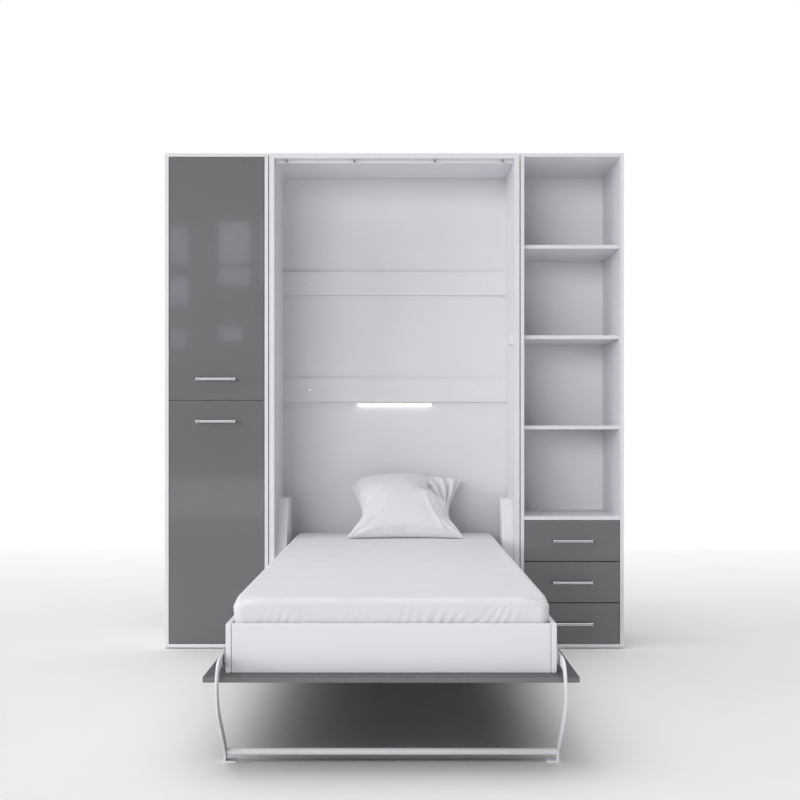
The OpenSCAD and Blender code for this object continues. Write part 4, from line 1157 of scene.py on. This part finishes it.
class WALLBED_OT_stage(bpy.types.Operator):
    """Floor, light and camera"""

    bl_idname = "wallbed.stage"
    bl_label = "Stage"

    # Where the sky is brightest, the cosines between which it brightens, and its least strength as a share
    BRIGHTEST = (-0.14, 0.0, 1.0)
    SKY_SPAN = (0.53, 0.97)
    SKY_LEAST = 0.035
    # Half the floor's width, how far it runs behind the camera, and where and how strongly its far part glows
    FLOOR_HALF = 14
    FLOOR_BEHIND = 12
    GLOW_SPAN = (1.1, 4.6)
    GLOW = 0.2
    # The part of the room that the doors' gloss shows: left, right, low and high edge, share of the glow
    ROOM = (-2.60, -1.10, 0.02, 4.00, 0.18)
    # The panes of the window in it
    PANES = ((-1.905, -1.575, 2.73, 3.17, 0.50), (-1.905, -1.575, 2.49, 2.685, 0.42),
             (-2.440, -2.235, 2.72, 3.12, 0.42), (-2.440, -2.235, 2.28, 2.585, 0.50),
             (-1.463, -1.405, 2.77, 3.23, 0.36), (-1.463, -1.405, 2.52, 2.725, 0.32),
             (-1.905, -1.660, 1.90, 2.06, 0.42), (-2.440, -2.260, 1.83, 2.03, 0.32))
    # Distance of the room and of the panes from the cabinets' front
    ROOM_D = 7.05
    PANES_D = 7.0

    def execute(self, context):
        s = settings("wall_bed_stage")
        front_y = lowest("bed_cabinet_top").y
        self.make_camera(s, front_y)
        self.make_floor(s, front_y)
        self.make_sky(s)
        self.make_lights(s, front_y)
        self.make_window(s, front_y)
        context.scene.view_settings.view_transform = "Standard"
        return {"FINISHED"}

    def make_camera(self, s, front_y):
        data = bpy.data.cameras.new("Camera")
        data.lens = s.lens
        data.sensor_width = 36
        data.shift_y = s.horizon
        data.clip_end = 100
        camera = bpy.data.objects.new("Camera", data)
        bpy.context.scene.collection.objects.link(camera)
        camera.location = (s.camera_x, front_y - s.camera_d, s.camera_z)
        camera.rotation_euler = (math.pi / 2, 0, 0)
        bpy.context.scene.camera = camera

    def make_floor(self, s, front_y):
        half = self.FLOOR_HALF
        near = front_y - s.camera_d - self.FLOOR_BEHIND
        far = front_y - s.camera_d + s.floor_d
        mesh = bpy.data.meshes.new("floor")
        corners = [(-half, near, 0), (half, near, 0), (half, far, 0), (-half, far, 0)]
        mesh.from_pydata(corners, [], [(0, 1, 2, 3)])
        floor = link("floor", mesh)
        mat = new_material("Pale floor", (0.97, 0.97, 0.97), 0.6, Emission_Color=(1, 1, 1, 1))
        at = coordinates(mat)
        vary_value(mat, noise_field(mat, at, 2.0, 2), 0.55, 0.65)
        depth = step(mat.node_tree, "ShaderNodeSeparateXYZ", {0: at})
        glow = step(mat.node_tree, "ShaderNodeMapRange", {
            "Value": depth.outputs["Y"], "From Min": self.GLOW_SPAN[0], "From Max": self.GLOW_SPAN[1],
            "To Max": self.GLOW})
        feed(mat, glow.outputs["Result"], "Emission Strength")
        mesh.materials.append(mat)

    def make_sky(self, s):
        """White where the camera sees it, and elsewhere brightest overhead, a little to the left."""
        world = bpy.data.worlds.new("Studio")
        bpy.context.scene.world = world
        world.use_nodes = True
        tree = world.node_tree
        tree.nodes.clear()
        place = step(tree, "ShaderNodeTexCoord")
        height = step(tree, "ShaderNodeVectorMath", {
            0: place.outputs["Generated"], 1: Vector(self.BRIGHTEST).normalized()}, operation="DOT_PRODUCT")
        span = step(tree, "ShaderNodeMapRange", {
            "Value": height.outputs["Value"], "From Min": self.SKY_SPAN[0], "From Max": self.SKY_SPAN[1],
            "To Min": s.sky * self.SKY_LEAST, "To Max": s.sky})
        lit = step(tree, "ShaderNodeBackground", {"Color": (1, 1, 1, 1), "Strength": span.outputs["Result"]})
        seen = step(tree, "ShaderNodeBackground", {"Color": (1, 1, 1, 1)})
        ray = step(tree, "ShaderNodeLightPath")
        mix = step(tree, "ShaderNodeMixShader", {
            "Fac": ray.outputs["Is Camera Ray"], 1: lit, 2: seen})
        step(tree, "ShaderNodeOutputWorld", {"Surface": mix})

    def make_lights(self, s, front_y):
        """Soft lights that reach the furniture, the shelves' backs or the floor alone."""
        meshes = [obj for obj in bpy.context.scene.objects if obj.type == "MESH"]
        groups = {"Furniture": [obj for obj in meshes if obj.name != "floor"],
                  "Shelf backs": [obj for obj in meshes if obj.name.startswith("side_cabinet_backs")],
                  "Ground": [bpy.data.objects["floor"]]}
        reach = {}
        for name, members in groups.items():
            reach[name] = bpy.data.collections.new(name)
            for obj in members:
                reach[name].objects.link(obj)
        cabinets = (0, front_y, 1.0)
        floor_spot = (-1.5, front_y - 3, 0)
        for name, x, away, z, target, size, power, group in (
                ("key", -10.0, 22.9, 5.3, cabinets, (16.0, 8.0), s.key, "Furniture"),
                ("side", -12.4, 6.6, 3.4, cabinets, (6.0, 4.8), s.side, "Furniture"),
                ("fill", 11.6, 8.0, 3.6, cabinets, (6.4, 4.8), s.fill, "Furniture"),
                ("shelf", -3.4, 13.4, 2.4, cabinets, (7.0, 4.0), s.shelf, "Shelf backs"),
                ("above", -4.5, 4.0, 13.0, floor_spot, (9.0, 9.0), s.above, "Ground")):
            lamp = soft_light(name, (x, front_y - away, z), target, size, power)
            lamp.visible_glossy = False
            lamp.light_linking.receiver_collection = reach[group]

    def make_window(self, s, front_y):
        """A faint room with a window, behind the camera, for the doors' gloss."""
        rows = [(self.ROOM, self.ROOM_D, (1.0, 0.97, 0.88))]
        rows += [(pane, self.PANES_D, (0.72, 0.84, 1.0)) for pane in self.PANES]
        for number, ((x0, x1, z0, z1, share), away, tint) in enumerate(rows):
            width, height = x1 - x0, z1 - z0
            place = ((x0 + x1) / 2, front_y - away, (z0 + z1) / 2)
            power = s.window * share * math.pi * width * height
            pane = soft_light(f"pane_{number}", place, (place[0], 0, place[2]), (width, height), power, tint)
            pane.visible_diffuse = False


# Panel and registration
OPERATORS = (WALLBED_OT_finishes, WALLBED_OT_boards, WALLBED_OT_backs, WALLBED_OT_fronts, WALLBED_OT_handles,
             WALLBED_OT_steelwork, WALLBED_OT_screws, WALLBED_OT_slats, WALLBED_OT_lamp, WALLBED_OT_mattress,
             WALLBED_OT_pillow, WALLBED_OT_stage)
GROUPS = (("wall_bed_finishes", WallBedFinishes), ("wall_bed_handles", WallBedHandles),
          ("wall_bed_linen", WallBedLinen), ("wall_bed_stage", WallBedStage))


class WALLBED_PT_panel(bpy.types.Panel):
    """Lists the sizes and the steps"""

    bl_idname = "WALLBED_PT_panel"
    bl_label = "Wall bed"
    bl_space_type = "VIEW_3D"
    bl_region_type = "UI"
    bl_category = "Wall bed"

    def draw(self, context):
        for name, group in GROUPS:
            box = self.layout.box()
            for key in group.__annotations__:
                box.prop(getattr(context.scene, name), key)
        for operator in OPERATORS:
            self.layout.operator(operator.bl_idname)


def register():
    for name, group in GROUPS:
        bpy.utils.register_class(group)
        setattr(bpy.types.Scene, name, bpy.props.PointerProperty(type=group))
    for operator in OPERATORS:
        bpy.utils.register_class(operator)
    bpy.utils.register_class(WALLBED_PT_panel)


def unregister():
    bpy.utils.unregister_class(WALLBED_PT_panel)
    for operator in reversed(OPERATORS):
        bpy.utils.unregister_class(operator)
    for name, group in reversed(GROUPS):
        delattr(bpy.types.Scene, name)
        bpy.utils.unregister_class(group)


def main():
    register()
    for operator in OPERATORS:
        family, name = operator.bl_idname.split(".")
        getattr(getattr(bpy.ops, family), name)()


if __name__ == "__main__":
    main()
